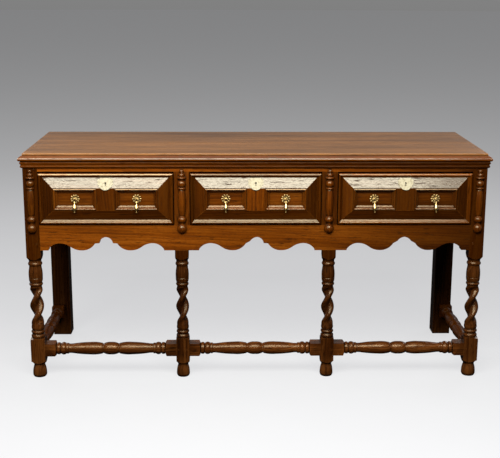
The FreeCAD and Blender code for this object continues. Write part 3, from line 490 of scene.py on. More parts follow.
def brass_plate(name, metal):
    """The pale, waxed brass of the plates, with brown stains and a brown edge."""
    shader = Shader(bpy.data.materials.new(name))
    place = shader.place()
    patches = shader.noise(place, **PLATE_PATCHES)
    specks = shader.noise(place, **PLATE_SPECKS)
    hollow = shader.scaled(shader.hollow(PLATE_HOLLOW), PLATE_HOLLOW_SHARE)
    brown = shader.math("MAXIMUM", shader.spread(patches, *PLATE_STAINS), hollow)
    brown = shader.math("MAXIMUM", brown, shader.spread(specks, *SPECK_STAINS))
    skin = shader.mix(brown, opaque(metal.plate), opaque(metal.tarnish))
    dull = shader.spread(patches, *PLATE_DULL)
    surface = {"Base Color": skin, "Roughness": dull, "Specular IOR Level": PLATE_GLOSS}
    return shader.finish(surface, patches, *PLATE_BUMP)


# Iron of the locks
IRON_HAMMERED = {"stretch": (110.0, 110.0, 110.0)}
IRON_GRIT = {"stretch": (700.0, 700.0, 700.0), "detail": 3.0}
RUST_GRIT = 0.4
RUST_RANGE = (0.66, 0.86)
IRON_DULL = (0.3, 0.7, 0.42, 0.7)
RUST_BARE = (0.0, 1.0, 0.85, 0.1)
GRIT_RELIEF = 0.3
IRON_BUMP = (0.0006, 0.6)


def iron(name, metal):
    """Forged iron with a hammered skin and some old rust."""
    shader = Shader(bpy.data.materials.new(name))
    place = shader.place()
    hammered = shader.noise(place, **IRON_HAMMERED)
    grit = shader.noise(place, **IRON_GRIT)
    rusty = shader.spread(shader.plus(hammered, grit, RUST_GRIT), *RUST_RANGE)
    skin = shader.mix(rusty, opaque(metal.iron), opaque(metal.rust))
    dull = shader.spread(grit, *IRON_DULL)
    bare = shader.spread(rusty, *RUST_BARE)
    surface = {"Base Color": skin, "Metallic": bare, "Roughness": dull}
    return shader.finish(surface, shader.plus(hammered, grit, GRIT_RELIEF), *IRON_BUMP)


# The finishes by slot; the dull, the bevel and the golden one are kinds of the front oak
FINISH_NAMES = {
    "oak_dark": "waxed_frame_oak",
    "oak_dull": "dull_front_oak",
    "oak_mid": "waxed_front_oak",
    "oak_bevel": "glossy_front_oak",
    "oak_golden": "golden_front_oak",
    "oak_top": "waxed_top_oak",
    "oak_plain": "bare_oak",
    "brass": "aged_brass",
    "brass_plate": "waxed_brass_plate",
    "iron": "forged_iron",
}
METALS = {"brass": brass, "brass_plate": brass_plate, "iron": iron}
DULL_GLOSS = 0.06
BEVEL_DRY = 0.5


def finish_for(slot):
    """The material of one slot, made when it is first asked for."""
    name = FINISH_NAMES[slot]
    ready = bpy.data.materials.get(name)
    if ready:
        return ready
    chosen = settings()
    if slot in METALS:
        return METALS[slot](name, chosen.metal)
    front = chosen.oak_mid
    kinds_of_front = {
        "oak_dull": (DULL_GLOSS, front.wax),
        "oak_bevel": (front.bevel_gloss, front.bevel_wax, BEVEL_DRY),
        "oak_golden": (front.edge_gloss, front.edge_wax),
    }
    if slot in kinds_of_front:
        return oak(name, front, *kinds_of_front[slot])
    tones = getattr(chosen, slot)
    return oak(name, tones, tones.gloss, tones.wax)


def always(value):
    """A rule that gives the same tone, stain or finish everywhere."""
    return lambda *place: value


def smooth_step(value):
    """A smooth rise from 0 to 1."""
    value = min(1.0, max(0.0, value))
    return value * value * (3 - 2 * value)


def solids(bm):
    """The corners of each solid in turn. Solids follow each other, and each ends where its skin closes."""
    open_edges = set()
    corners = []
    for face in bm.faces:
        places = [tuple(round(part, PLACE_DIGITS) for part in vert.co) for vert in face.verts]
        corners += face.verts
        for start, end in zip(places, places[1:] + places[:1]):
            if start != end:
                open_edges ^= {frozenset((start, end))}
        if not open_edges:
            yield list(dict.fromkeys(corners))
            corners = []


def merged(node):
    """A copy of a node's mesh with each of its solids closed and its flat faces whole."""
    bm = bmesh.new()
    bm.from_mesh(frame["nodes"][node].data)
    number = bm.verts.layers.int.new("solid")
    for count, corners in enumerate(list(solids(bm))):
        for vert in corners:
            vert[number] = count
        bmesh.ops.remove_doubles(bm, verts=corners, dist=SAME_POINT)
    bmesh.ops.dissolve_limit(bm, angle_limit=FLAT_ANGLE, verts=bm.verts, edges=bm.edges)
    return bm


def islands(bm):
    """The connected solids of a mesh, each as a list of its corners."""
    waiting = set(bm.verts)
    for seed in list(bm.verts):
        if seed not in waiting:
            continue
        waiting.discard(seed)
        found = [seed]
        for vert in found:
            for edge in vert.link_edges:
                other = edge.other_vert(vert)
                if other in waiting:
                    waiting.discard(other)
                    found.append(other)
        yield found


def stands_out(edge, shortest, heights):
    """Whether an edge points outwards, has some length and has its middle between two heights."""
    low, high = heights
    return (
        edge.is_manifold
        and edge.calc_face_angle_signed() > EDGE_ANGLE
        and edge.calc_length() >= shortest
        and low < sum(vert.co.z for vert in edge.verts) / 2 < high
    )


def rub_edges(bm, size, shortest=0.0, heights=ANYWHERE):
    """Rounds the edges that stand out, and marks them as worn."""
    worn = bm.faces.layers.float.get("worn") or bm.faces.layers.float.new("worn")
    for corners in list(islands(bm)):
        edges = {edge for vert in corners for edge in vert.link_edges}
        sharp = [edge for edge in edges if stands_out(edge, shortest, heights)]
        sharp.sort(key=lambda edge: edge.index)
        if not sharp:
            continue
        made = bmesh.ops.bevel(
            bm, geom=sharp, offset=size, offset_type="OFFSET", affect="EDGES", segments=EDGE_STEPS,
            profile=0.5, material=-1, clamp_overlap=True,
        )
        for face in made["faces"]:
            face[worn] = 1.0


# How far planks differ: where they were cut along the tree, how far from its pith, how straight, how dark
CUT_ALONG = 3.0
PITH_ACROSS = (0.03, 0.09)
PITH_THROUGH = (0.05, 0.14)
GRAIN_DRIFT = 0.03
PLANK_TONES = (0.9, 1.1)
EITHER_WAY = (-1, 1)


def lay_grain(bm, seed, shade_of, stain_and_shade_of):
    """Gives each plank of a mesh its own grain, along its length, and its own tone."""
    number = bm.verts.layers.int["solid"]
    grain = bm.verts.layers.float_vector.new("grain")
    tone = bm.verts.layers.float.new("tone")
    stain_and_shade = bm.verts.layers.float.new("stain_and_shade")
    for corners in list(islands(bm)):
        solid = corners[0][number]
        dice = random.Random(f"{seed} {solid}")
        low = Vector(min(vert.co[axis] for vert in corners) for axis in range(3))
        high = Vector(max(vert.co[axis] for vert in corners) for axis in range(3))
        size = high - low
        along, across, through = sorted(range(3), key=lambda axis: -size[axis])
        middle = (low + high) / 2
        start = dice.uniform(-CUT_ALONG, CUT_ALONG)
        pith = Vector((
            dice.choice(EITHER_WAY) * dice.uniform(*PITH_ACROSS),
            dice.choice(EITHER_WAY) * dice.uniform(*PITH_THROUGH),
        ))
        drift = Vector((dice.uniform(-GRAIN_DRIFT, GRAIN_DRIFT), dice.uniform(-GRAIN_DRIFT, GRAIN_DRIFT)))
        shade = dice.uniform(*PLANK_TONES) * shade_of(solid)
        for vert in corners:
            place = vert.co - middle
            run = place[along]
            vert[grain] = (
                run + start,
                place[across] + pith.x + run * drift.x,
                place[through] + pith.y + run * drift.y,
            )
            vert[tone] = shade
            # The stain attribute holds real stains, and painted shade on the long rails' right ends and
            # the rear posts
            vert[stain_and_shade] = stain_and_shade_of(vert.co)


def add_object(name, data):
    """A new object in the scene."""
    made = bpy.data.objects.new(name, data)
    bpy.context.scene.collection.objects.link(made)
    return made


def add_piece(name, bm, node, *finishes):
    """Makes a finished piece of a mesh. It stands for a CAD node and rides on that node's body."""
    bm.normal_update()
    for face in bm.faces:
        face.smooth = True
    for edge in bm.edges:
        edge.smooth = edge.calc_face_angle(math.pi) < CREASE_ANGLE
    mesh = bpy.data.meshes.new(name)
    bm.to_mesh(mesh)
    bm.free()
    for finish in finishes:
        mesh.materials.append(finish_for(finish))
    piece = add_object(name, mesh)
    shading = piece.modifiers.new("Even shading", "WEIGHTED_NORMAL")
    shading.keep_sharp = True
    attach(piece, frame["nodes"][node]["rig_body"])
    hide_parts(node)


def oak_piece(
    node, edge=0.0, shortest=0.0, heights=ANYWHERE,
    shade_of=always(1.0), stain_and_shade_of=always(0.0), finish_of=None,
):
    """The worn oak piece that stands for a CAD node, in one finish or in what each face asks for."""
    bm = merged(node)
    if edge:
        rub_edges(bm, edge, shortest, heights)
    lay_grain(bm, node, shade_of, stain_and_shade_of)
    finishes = [SLOTS[node]]
    if finish_of:
        solid = bm.verts.layers.int["solid"]
        asked = [finish_of(face, face.verts[0][solid]) for face in bm.faces]
        finishes = sorted(set(asked))
        for face, finish in zip(bm.faces, asked):
            face.material_index = finishes.index(finish)
    add_piece(f"{node}_oak", bm, node, *finishes)


TOP_LEVEL = CAD_BOX[1].z
# From the top's surface down to the moulding under its fillet
FILLET = 0.0067


def top_finish(face, solid):
    """The thumb moulding under the fillet keeps the dark staining that the top has lost."""
    return "oak_bevel" if TOP_LEVEL - face.calc_center_median().z > FILLET else "oak_top"


class DRESSER_OT_top(bpy.types.Operator):
    """Make the two boards of the top, with rubbed edges"""

    bl_idname = "dresser.top"
    bl_label = "Top"

    def execute(self, context):
        upper = (TOP_LEVEL - SAME_POINT, math.inf)
        for node in ("top_board_front", "top_board_rear"):
            oak_piece(node, settings().sizes.top_edge, heights=upper, finish_of=top_finish)
        return {"FINISHED"}


# The cornice, the frieze and the apron darken towards the right end: painted shade, where the light falls
# off to the right
RIGHT_END_SHADE_X = 0.85
RIGHT_END_SHADE = 0.9
CORNICE_TONE = 1.05


def right_end_shade(place):
    """A long rail's painted shade, darker towards its right end where the light falls off."""
    return RIGHT_END_SHADE * smooth_step(place.x / RIGHT_END_SHADE_X)


class DRESSER_OT_cornice(bpy.types.Operator):
    """Make the moulding under the top"""

    bl_idname = "dresser.cornice"
    bl_label = "Cornice"

    def execute(self, context):
        for node in ("cornice_front", "cornice_ends"):
            oak_piece(
                node, shade_of=always(CORNICE_TONE), stain_and_shade_of=right_end_shade, finish_of=always("oak_dull")
            )
        return {"FINISHED"}


# The square stile of a front post is above this height
STILE_LOW = 0.4555
STILE_STAIN = 0.88
# The rear posts are darkened all over: painted shade for the shadow they stand in
REAR_SHADE = 0.55


def dark_stile(place):
    """The square stile over the turning is darker than the leg."""
    return STILE_STAIN if place.z > STILE_LOW else 0.0


def leg_finish(face, solid):
    """The square stile over the turning is duller than the leg."""
    return "oak_dull" if face.calc_center_median().z > STILE_LOW else "oak_dark"


class DRESSER_OT_legs(bpy.types.Operator):
    """Make the front posts, the inner legs and the rear posts"""

    bl_idname = "dresser.legs"
    bl_label = "Legs and posts"

    def execute(self, context):
        edge = settings().sizes.post_edge
        for side in SIDES:
            for kind in ("front_post", "inner_leg"):
                oak_piece(f"{kind}_{side}", edge, LONG_EDGE, stain_and_shade_of=dark_stile, finish_of=leg_finish)
            oak_piece(f"rear_post_{side}", edge, LONG_EDGE, stain_and_shade_of=always(REAR_SHADE))
        return {"FINISHED"}


# Left and right divider, of which only the long upright edges are rubbed
# The right divider is darker than the left: painted shade, where the light falls off to the right
DIVIDER_TONES_AND_SHADE = (0.8, 0.55)
DIVIDER_EDGE = 0.1
APRON_TONE = 1.25
FRIEZE_TONE = 1.6


class DRESSER_OT_rails(bpy.types.Operator):
    """Make the frieze rail, the shaped apron, the drawer dividers and the side rails"""

    bl_idname = "dresser.rails"
    bl_label = "Rails and apron"

    def execute(self, context):
        edge = settings().sizes.board_edge
        oak_piece("side_rails", edge, LONG_EDGE)
        oak_piece("drawer_dividers", edge, DIVIDER_EDGE, shade_of=lambda solid: DIVIDER_TONES_AND_SHADE[solid])
        oak_piece("frieze_rail", edge, LONG_EDGE, shade_of=always(FRIEZE_TONE), stain_and_shade_of=right_end_shade)
        apron_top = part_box("apron_rail")[1].z
        lower = (0.0, apron_top - edge)
        oak_piece("apron_rail", edge, heights=lower, shade_of=always(APRON_TONE), stain_and_shade_of=right_end_shade)
        return {"FINISHED"}


class DRESSER_OT_panels(bpy.types.Operator):
    """Make the side panels, the back frame and its panels, and the drawer runners"""

    bl_idname = "dresser.panels"
    bl_label = "Sides, back and runners"

    def execute(self, context):
        edge = settings().sizes.board_edge
        for node in ("side_panel_left", "side_panel_right", "back_frame", "back_panels", "drawer_runners"):
            oak_piece(node, edge, LONG_EDGE)
        return {"FINISHED"}


# The front stretchers are lightened, partly painted light from the bright floor below them
STRETCHER_TONE_AND_FLOOR_LIGHT = 1.8
SIDE_STRETCHER_TONE = 0.6
# A front stretcher's tenon and square end, from its tip
BLOCK_REACH = 0.0525
BLOCK_STAIN = 0.55


def dark_blocks(low, high, place):
    """The square ends of a front stretcher are darker than its turning."""
    return BLOCK_STAIN if min(place.x - low, high - place.x) < BLOCK_REACH else 0.0


class DRESSER_OT_stretchers(bpy.types.Operator):
    """Make the turned stretchers between the legs"""

    bl_idname = "dresser.stretchers"
    bl_label = "Stretchers"

    def execute(self, context):
        for place in PLACES:
            node = f"front_stretcher_{place}"
            low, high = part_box(node)
            ends = partial(dark_blocks, low.x, high.x)
            oak_piece(node, shade_of=always(STRETCHER_TONE_AND_FLOOR_LIGHT), stain_and_shade_of=ends)
        for side in SIDES:
            node = f"side_stretcher_{side}"
            oak_piece(node, shade_of=always(SIDE_STRETCHER_TONE), finish_of=always("oak_dull"))
        return {"FINISHED"}


# Left divider, left post, right divider, right post
BALUSTER_TONES = (0.85, 0.5, 1.0, 0.7)


class DRESSER_OT_balusters(bpy.types.Operator):
    """Make the split balusters on posts and dividers"""

    bl_idname = "dresser.balusters"
    bl_label = "Split balusters"

    def execute(self, context):
        oak_piece("split_balusters", shade_of=lambda solid: BALUSTER_TONES[solid])
        return {"FINISHED"}


class DRESSER_OT_pegs(bpy.types.Operator):
    """Make the pegs of the joints"""

    bl_idname = "dresser.pegs"
    bl_label = "Pegs"

    def execute(self, context):
        oak_piece("joint_pegs", settings().sizes.fine_edge)
        return {"FINISHED"}


# The solids of a drawer's mouldings, in order: border, bevels, muntin, then the small frames and tablets
BORDERS = range(4)
BEVELS = range(4, 8)
MUNTIN = 8
FIRST_FRAME = 9
# Borders, bevels and frames: top, right, bottom, left, and then a frame's tablet
# The upper and lower borders are lighter than the upright ones, partly a painted highlight
BORDER_TONES_AND_HIGHLIGHTS = (1.45, 0.6, 1.05, 0.5)
BORDER_LIGHT = {"left": 0.88, "middle": 0.65, "right": 1.2}
BORDER_FINISHES = {"left": "oak_golden", "middle": "oak_mid", "right": "oak_mid"}
# Each bevel is lighter or darker by how it faces the light: painted shade
BEVEL_PAINTED_SHADES = {
    "left": (0.5, 0.62, 0.5, 0.32),
    "middle": (0.5, 0.38, 0.64, 0.5),
    "right": (0.45, 0.3, 0.5, 0.6),
}
MUNTIN_TONES = {"left": 0.47, "middle": 1.1, "right": 0.44}
# The upper and lower sides of the small frames are lighter, partly a painted highlight
FRAME_TONES_AND_HIGHLIGHTS = (1.1, 0.9, 1.2, 0.9, 1.0)
FRAME_LIGHT = {"left": 0.88, "middle": 0.9, "right": 0.56}


def frame_side(solid):
    """Which part of its small frame a solid is: the top, right, bottom or left side, or the tablet."""
    return (solid - FIRST_FRAME) % len(FRAME_TONES_AND_HIGHLIGHTS)


def moulding_tone(place, solid):
    """How light one solid of a drawer's mouldings is."""
    if solid in BORDERS:
        return BORDER_LIGHT[place] * BORDER_TONES_AND_HIGHLIGHTS[solid]
    if solid in BEVELS:
        return BEVEL_PAINTED_SHADES[place][solid - BEVELS.start]
    if solid == MUNTIN:
        return MUNTIN_TONES[place]
    return FRAME_LIGHT[place] * FRAME_TONES_AND_HIGHLIGHTS[frame_side(solid)]


def moulding_finish(place, face, solid):
    """What lies uppermost is polished most, and the upright borders are dull."""
    if solid == BEVELS.start:
        return "oak_bevel"
    if solid in BORDERS and solid % 2:
        return "oak_dull"
    if solid == BORDERS.start:
        return BORDER_FINISHES[place]
    if solid >= FIRST_FRAME and frame_side(solid) == 0:
        return "oak_golden"
    return "oak_mid"


class DRESSER_OT_drawer_fronts(bpy.types.Operator):
    """Make the drawer fronts with their borders, bevels, small frames and tablets"""

    bl_idname = "dresser.drawer_fronts"
    bl_label = "Drawer fronts"

    def execute(self, context):
        edge = settings().sizes.fine_edge
        for place in PLACES:
            oak_piece(f"drawer_front_{place}", edge, LONG_EDGE)
            oak_piece(
                f"drawer_mouldings_{place}", edge, LONG_EDGE,
                shade_of=partial(moulding_tone, place), finish_of=partial(moulding_finish, place),
            )
        return {"FINISHED"}


class DRESSER_OT_drawer_boxes(bpy.types.Operator):
    """Make the sides, backs and bottoms of the drawers"""

    bl_idname = "dresser.drawer_boxes"
    bl_label = "Drawer boxes"

    def execute(self, context):
        for place in PLACES:
            for kind in ("sides", "back", "bottom"):
                oak_piece(f"drawer_{kind}_{place}", settings().sizes.board_edge, LONG_EDGE)
        return {"FINISHED"}


# A round head's faces round it and from pole to pole, and the height of pins and nails by their radius
HEAD_SEGMENTS = 20
HEAD_RINGS = 10
PIN_FLAT = 0.6
NAIL_FLAT = 0.5


def facing(out):
    """The turn that makes what looks up look another way."""
    return UPWARD.rotation_difference(out).to_matrix().to_4x4()


def dome(bm, place, out, radius, flat):
    """Adds a round head that lies on a surface at a place, facing out."""
    squash = Matrix.Diagonal((1.0, 1.0, flat, 1.0))
    bmesh.ops.create_uvsphere(
        bm, u_segments=HEAD_SEGMENTS, v_segments=HEAD_RINGS, radius=radius,
        matrix=Matrix.Translation(place) @ facing(out) @ squash,
    )


# How closely a face has to look one way to count as a front, and as a part of the flat plate
ROUGHLY = 0.5
SQUARELY = 0.999
# Where a plate's pins are, as a share of its width from its middle, and the sizes of its raised lip
PIN_REACH = 0.36
PLATE_LIP = 0.0013
PLATE_SUNK = 0.0005
PLATE_EDGE = 0.0002


def front_of(bm, out):
    """The middle and the direction of the largest face that looks one way."""
    faces = [face for face in bm.faces if face.normal.dot(out) > ROUGHLY]
    largest = max(faces, key=lambda face: face.calc_area())
    return largest.calc_center_median(), largest.normal.copy()


class DRESSER_OT_escutcheons(bpy.types.Operator):
    """Make the brass plates round the keyholes, each held by two pins"""

    bl_idname = "dresser.escutcheons"
    bl_label = "Escutcheons"

    def execute(self, context):
        for place in PLACES:
            node = f"escutcheon_{place}"
            bm = merged(node)
            low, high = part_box(node)
            middle, out = front_of(bm, FORWARD)
            middle.x = (low.x + high.x) / 2
            plate = [face for face in bm.faces if face.normal.dot(out) > SQUARELY]
            bmesh.ops.inset_region(
                bm, faces=plate, thickness=PLATE_LIP, depth=-PLATE_SUNK, use_even_offset=True
            )
            rub_edges(bm, PLATE_EDGE)
            for side in EITHER_WAY:
                reach = Vector((side * (high.x - low.x) * PIN_REACH, 0, 0))
                dome(bm, middle + reach, out, settings().sizes.pin_radius, PIN_FLAT)
            add_piece(f"{node}_brass", bm, node, "brass_plate")
        return {"FINISHED"}


# The ring of a drop, from its top down, is darker, and so is its lower end, where the darkening is painted
# shade
RING_DARK = 0.012
RING_FADE = 0.004
END_DARK = 0.016
END_FADE = 0.007
END_SHADE = 0.8


class DRESSER_OT_drops(bpy.types.Operator):
    """Make the pear-shaped drops of the handles"""

    bl_idname = "dresser.drops"
    bl_label = "Drops"

    def execute(self, context):
        for place in PLACES:
            for number in (1, 2):
                node = f"handle_drop_{place}_{number}"
                bm = merged(node)
                stain_and_shade = bm.verts.layers.float.new("stain_and_shade")
                low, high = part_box(node)
                for vert in bm.verts:
                    ring = smooth_step((vert.co.z - high.z + RING_DARK) / RING_FADE)
                    # The lower end is darkened as painted shade
                    end = smooth_step((low.z + END_DARK - vert.co.z) / END_FADE)
                    vert[stain_and_shade] = max(ring, end * END_SHADE)
                add_piece(f"{node}_brass", bm, node, "brass")
        return {"FINISHED"}


# The rosette's section from the back to the middle: share of the radius, and height in metres
ROSETTE_SECTION = (
    (0.0, 0.0), (0.50, 0.0), (0.78, 0.0), (1.0, 0.0), (1.0, 0.0008), (0.96, 0.0017), (0.89, 0.0025),
    (0.80, 0.0029), (0.70, 0.0026), (0.62, 0.0017), (0.58, 0.0012), (0.54, 0.0019), (0.48, 0.0029),
    (0.40, 0.0035), (0.31, 0.0034), (0.25, 0.0026), (0.21, 0.0026), (0.16, 0.0034), (0.09, 0.0038),
    (0.0, 0.0039),
)
# The throat between the two rings of petals, as a share of the radius
THROAT = 0.58
THROAT_WIDE = 0.13
# Where each ring of petals starts and ends, and its turn in petals
PETAL_RINGS = ((THROAT, 1.0, 0.0), (0.23, THROAT, 0.5))
PETAL_STEPS = 14
# How soon a petal is at its full width, how deep the valleys between petals are and where they end
PETAL_SPREAD = 1.6
VALLEY = 0.0030
VALLEY_FLOOR = 0.0005
VALLEY_STAIN = 1.3
ROSETTE_STAIN = 0.36
# A rosette's plate is thinner than this, and the staple through it is much longer
THIN = 0.01


def rosette(bm, centre):
    """Adds a rosette with two rings of domed petals, with its back at a place and its face forward."""
    sizes = settings().sizes
    made = bmesh.new()
    stain_and_shade = made.verts.layers.float.new("stain_and_shade")
    rim = sizes.rosette_radius
    verts = [made.verts.new((part * rim, 0.0, height)) for part, height in ROSETTE_SECTION]
    edges = [made.edges.new(pair) for pair in zip(verts, verts[1:])]
    bmesh.ops.spin(
        made, geom=verts + edges, cent=(0, 0, 0), axis=UPWARD, angle=2 * math.pi,
        steps=sizes.petals * PETAL_STEPS, use_merge=True,
    )
    bmesh.ops.remove_doubles(made, verts=made.verts, dist=SAME_POINT)
    bmesh.ops.recalc_face_normals(made, faces=made.faces)
    for vert in made.verts:
        reach = math.hypot(vert.co.x, vert.co.y) / rim
        throat = smooth_step(1 - abs(reach - THROAT) / THROAT_WIDE)
        vert[stain_and_shade] = max(throat, ROSETTE_STAIN) if vert.co.z > 0 else 0.0
        for low, high, shift in PETAL_RINGS:
            if not low < reach <= high:
                continue
            angle = math.atan2(vert.co.y, vert.co.x) + shift * 2 * math.pi / sizes.petals
            notch = 1 - math.sqrt(0.5 + 0.5 * math.cos(sizes.petals * angle))
            out = smooth_step((reach - low) / (high - low) * PETAL_SPREAD)
            narrow = 1 - out * notch * (1 - sizes.rosette_root / rim) * (high - low) / (1 - THROAT)
            vert.co.x *= narrow
            vert.co.y *= narrow
            vert.co.z = max(min(vert.co.z, VALLEY_FLOOR), vert.co.z - out * VALLEY * notch)
            vert[stain_and_shade] = max(throat, ROSETTE_STAIN, out * smooth_step(notch * VALLEY_STAIN))
    bmesh.ops.transform(made, matrix=Matrix.Translation(centre) @ facing(FORWARD), verts=made.verts)
    whole = bpy.data.meshes.new("rosette")
    made.to_mesh(whole)
    made.free()
    bm.from_mesh(whole)
    bpy.data.meshes.remove(whole)


def extent(corners, axis):
    """The lowest and highest place of some corners along an axis."""
    places = [vert.co[axis] for vert in corners]
    return min(places), max(places)


def is_plate(corners):
    """Whether a solid of a handle's mounts is a rosette's plate, and not a staple."""
    front, back = extent(corners, 1)
    return back - front < THIN


class DRESSER_OT_rosettes(bpy.types.Operator):
    """Make the rosettes and the staples that hold the drops"""

    bl_idname = "dresser.rosettes"
    bl_label = "Rosettes"

    def execute(self, context):
        for place in PLACES:
            node = f"handle_mounts_{place}"
            bm = merged(node)
            plates = [corners for corners in islands(bm) if is_plate(corners)]
            centres = []
            for corners in plates:
                (left, right), (front, back), (low, high) = (extent(corners, axis) for axis in range(3))
                centres.append(Vector(((left + right) / 2, back, (low + high) / 2)))
                bmesh.ops.delete(bm, geom=corners, context="VERTS")
            for centre in centres:
                rosette(bm, centre)
            add_piece(f"{node}_brass", bm, node, "brass")
        return {"FINISHED"}


# From a lock's edges to its nails
NAIL_INSET = 0.008


class DRESSER_OT_locks(bpy.types.Operator):
    """Make the iron locks and their bolts"""

    bl_idname = "dresser.locks"
    bl_label = "Locks"

    def execute(self, context):
        sizes = settings().sizes
        for place in PLACES:
            node = f"lock_case_{place}"
            bm = merged(node)
            low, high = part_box(node)
            rub_edges(bm, sizes.fine_edge, LONG_EDGE)
            for x in (low.x + NAIL_INSET, high.x - NAIL_INSET):
                for z in (low.z + NAIL_INSET, high.z - NAIL_INSET):
                    dome(bm, Vector((x, high.y, z)), BACKWARD, sizes.nail_radius, NAIL_FLAT)
            add_piece(f"{node}_iron", bm, node, "iron")
            node = f"lock_bolt_{place}"
            bm = merged(node)
            rub_edges(bm, sizes.fine_edge)
            add_piece(f"{node}_iron", bm, node, "iron")
        return {"FINISHED"}


# The stage, in metres and degrees from the dresser's own frame
CAMERA_PLACE = (-0.08668, -3.90894, 1.43457)
CAMERA_DOWN = 13.3085
CAMERA_RIGHT = 1.04215
CAMERA_ROLL = -0.18667
KEY_PLACE = (-0.35, -2.1, 2.4)
KEY_AIM = (-0.35, -0.27, 0.72)
KEY_SIZE = (3.1, 1.3)
TOP_PLACE = (0.0, -0.2, 3.6)
TOP_SIZE = (3.0, 2.0)
BACK_PLACES = ((-2.6, 2.4, 2.4), (2.6, 2.4, 2.4))
BACK_SIZE = (1.6, 1.2)
DRESSER_MIDDLE = (0.0, 0.0, 0.5)
WHITE = (1.0, 1.0, 1.0)
FLOOR_RADIUS = 60.0
FLOOR_SEGMENTS = 96
FLOOR_MATT = (0.097, 0.10, 0.115)
FLOOR_SPECKLE = {"stretch": (6.0, 6.0, 6.0), "detail": 4.0}
SPECKLE_RANGE = (0.0, 1.0, 0.985, 1.015)
# The floor glows round a point in front of the dresser, and half as much at this distance from it
GLOW_CENTRE = (0.0, -2.5, 0.0)
GLOW_REACH = (4.0, 4.0, 4.0)
# The studio's brightness: by height from the nadir to the zenith, and from the front to the back
ROUND_ABOUT = (-1.0, 1.0)
STUDIO_STOPS = ((0.44, 0.06), (0.48, 0.87), (0.56, 1.15))
STUDIO_DEPTH = (-0.3, 0.5, 0.25, 1.0)


def area_light(name, place, aim, size, watts, tint=WHITE):
    """A soft rectangular light that points at a place and doesn't show itself."""
    light = bpy.data.lights.new(name, "AREA")
    light.shape = "RECTANGLE"
    light.size, light.size_y = size
    light.energy = watts
    light.color = tint
    lamp = add_object(name, light)
    lamp.location = place
    lamp.rotation_euler = (Vector(aim) - Vector(place)).to_track_quat("-Z", "Y").to_euler()
    lamp.visible_camera = False


def floor_material(stage):
    """A pale floor that glows softly in front and falls off to grey behind."""
    shader = Shader(bpy.data.materials.new("pale_floor"))
    place = shader.place()
    offset = shader.vector("SUBTRACT", place, GLOW_CENTRE)
    offset = shader.vector("DIVIDE", offset, GLOW_REACH)
    square = shader.vector("DOT_PRODUCT", offset, offset, "Value")
    nearness = shader.math("DIVIDE", 1.0, shader.math("ADD", square, 1.0))
    speckle = shader.spread(shader.noise(place, **FLOOR_SPECKLE), *SPECKLE_RANGE)
    nearness = shader.math("MULTIPLY", nearness, speckle)
    shade = shader.mix(nearness, opaque(stage.floor_far), opaque(stage.floor_near))
    glow = shader.add("ShaderNodeEmission", {"Color": shade, "Strength": 1.0}).outputs[0]
    matt = shader.add("ShaderNodeBsdfDiffuse", {"Color": opaque(FLOOR_MATT)}).outputs[0]
    both = shader.add("ShaderNodeAddShader", {0: glow, 1: matt}).outputs[0]
    shader.add("ShaderNodeOutputMaterial", {0: both})
    return shader.block


def add_floor(stage):
    """A wide round floor, which the dresser doesn't mirror."""
    bm = bmesh.new()
    bmesh.ops.create_circle(bm, cap_ends=True, segments=FLOOR_SEGMENTS, radius=FLOOR_RADIUS)
    mesh = bpy.data.meshes.new("floor")
    bm.to_mesh(mesh)
    bm.free()
    mesh.materials.append(floor_material(stage))
    floor = add_object("floor", mesh)
    floor.visible_glossy = False
    floor.visible_diffuse = False
    floor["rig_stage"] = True


def studio(stage):
    """A grey studio: brighter overhead, dark below the floor and dim in front."""
    shader = Shader(bpy.data.worlds.new("studio"))
    parts = shader.add("ShaderNodeSeparateXYZ", {0: shader.place("Generated")}).outputs
    height = shader.spread(parts["Z"], *ROUND_ABOUT)
    shade = shader.ramp(height, [(place, [stage.studio * part] * 3) for place, part in STUDIO_STOPS])
    strength = shader.spread(parts["Y"], *STUDIO_DEPTH)
    glow = shader.add("ShaderNodeBackground", {"Color": shade, "Strength": strength}).outputs[0]
    shader.add("ShaderNodeOutputWorld", {0: glow})
    return shader.block


def add_camera(stage):
    """The camera, at the photograph's viewing angle."""
    lens = bpy.data.cameras.new("camera")
    lens.lens = stage.lens
    lens.sensor_fit = "HORIZONTAL"
    camera = add_object("camera", lens)
    turn = Matrix.Rotation(math.radians(-CAMERA_RIGHT), 4, "Z")
    turn @= Matrix.Rotation(math.radians(90 - CAMERA_DOWN), 4, "X")
    turn @= Matrix.Rotation(math.radians(-CAMERA_ROLL), 4, "Z")
    camera.matrix_world = Matrix.Translation(CAMERA_PLACE) @ turn
    return camera


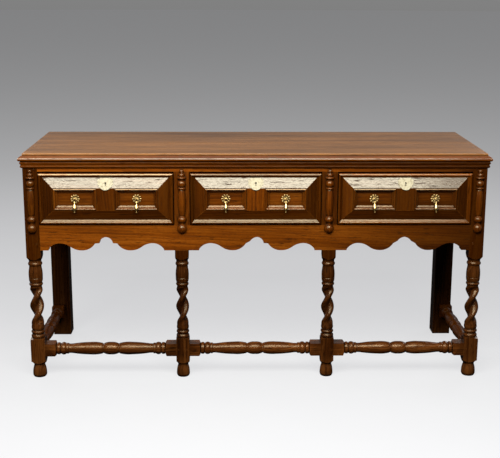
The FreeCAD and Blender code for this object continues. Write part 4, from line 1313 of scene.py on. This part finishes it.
class DRESSER_OT_stage(bpy.types.Operator):
    """Make the floor, the studio, the lights and the camera"""

    bl_idname = "dresser.stage"
    bl_label = "Stage"

    def execute(self, context):
        stage = settings().stage
        scene = context.scene
        add_floor(stage)
        scene.world = studio(stage)
        area_light("key_softbox", KEY_PLACE, KEY_AIM, KEY_SIZE, stage.key_power, stage.key_colour)
        area_light("overhead_softbox", TOP_PLACE, DRESSER_MIDDLE, TOP_SIZE, stage.top_power)
        for number, place in enumerate(BACK_PLACES):
            area_light(f"rear_softbox_{number}", place, DRESSER_MIDDLE, BACK_SIZE, stage.back_power)
        scene.camera = add_camera(stage)
        scene.view_settings.view_transform = "Standard"
        return {"FINISHED"}


class DRESSER_PT_panel(bpy.types.Panel):
    """Lists the dresser's steps and settings"""

    bl_idname = "DRESSER_PT_panel"
    bl_label = "Dresser"
    bl_space_type = "VIEW_3D"
    bl_region_type = "UI"
    bl_category = "Dresser"

    def draw(self, context):
        layout = self.layout
        for operator in OPERATORS:
            layout.operator(operator.bl_idname)
        for group in DresserSettings.__annotations__:
            box = layout.box()
            box.label(text=DresserSettings.bl_rna.properties[group].name)
            values = getattr(context.scene.dresser, group)
            for key in values.__annotations__:
                box.prop(values, key)


OPERATORS = (
    DRESSER_OT_top,
    DRESSER_OT_cornice,
    DRESSER_OT_legs,
    DRESSER_OT_rails,
    DRESSER_OT_panels,
    DRESSER_OT_stretchers,
    DRESSER_OT_balusters,
    DRESSER_OT_pegs,
    DRESSER_OT_drawer_fronts,
    DRESSER_OT_drawer_boxes,
    DRESSER_OT_escutcheons,
    DRESSER_OT_rosettes,
    DRESSER_OT_drops,
    DRESSER_OT_locks,
    DRESSER_OT_stage,
)
CLASSES = (
    DresserFrameOak,
    DresserFrontOak,
    DresserTopOak,
    DresserBareOak,
    DresserMetal,
    DresserSizes,
    DresserStage,
    DresserSettings,
    *OPERATORS,
    DRESSER_PT_panel,
)


def register():
    for kind in CLASSES:
        bpy.utils.register_class(kind)
    bpy.types.Scene.dresser = PointerProperty(type=DresserSettings)


def unregister():
    del bpy.types.Scene.dresser
    for kind in reversed(CLASSES):
        bpy.utils.unregister_class(kind)


def main():
    register()
    for operator in OPERATORS:
        group, step = operator.bl_idname.split(".")
        getattr(getattr(bpy.ops, group), step)()
    boxes = {"cad": CAD_BOX, "visual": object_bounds()}
    {key: [list(corner) for corner in box] for key, box in boxes.items()}


if __name__ == "__main__":
    main()
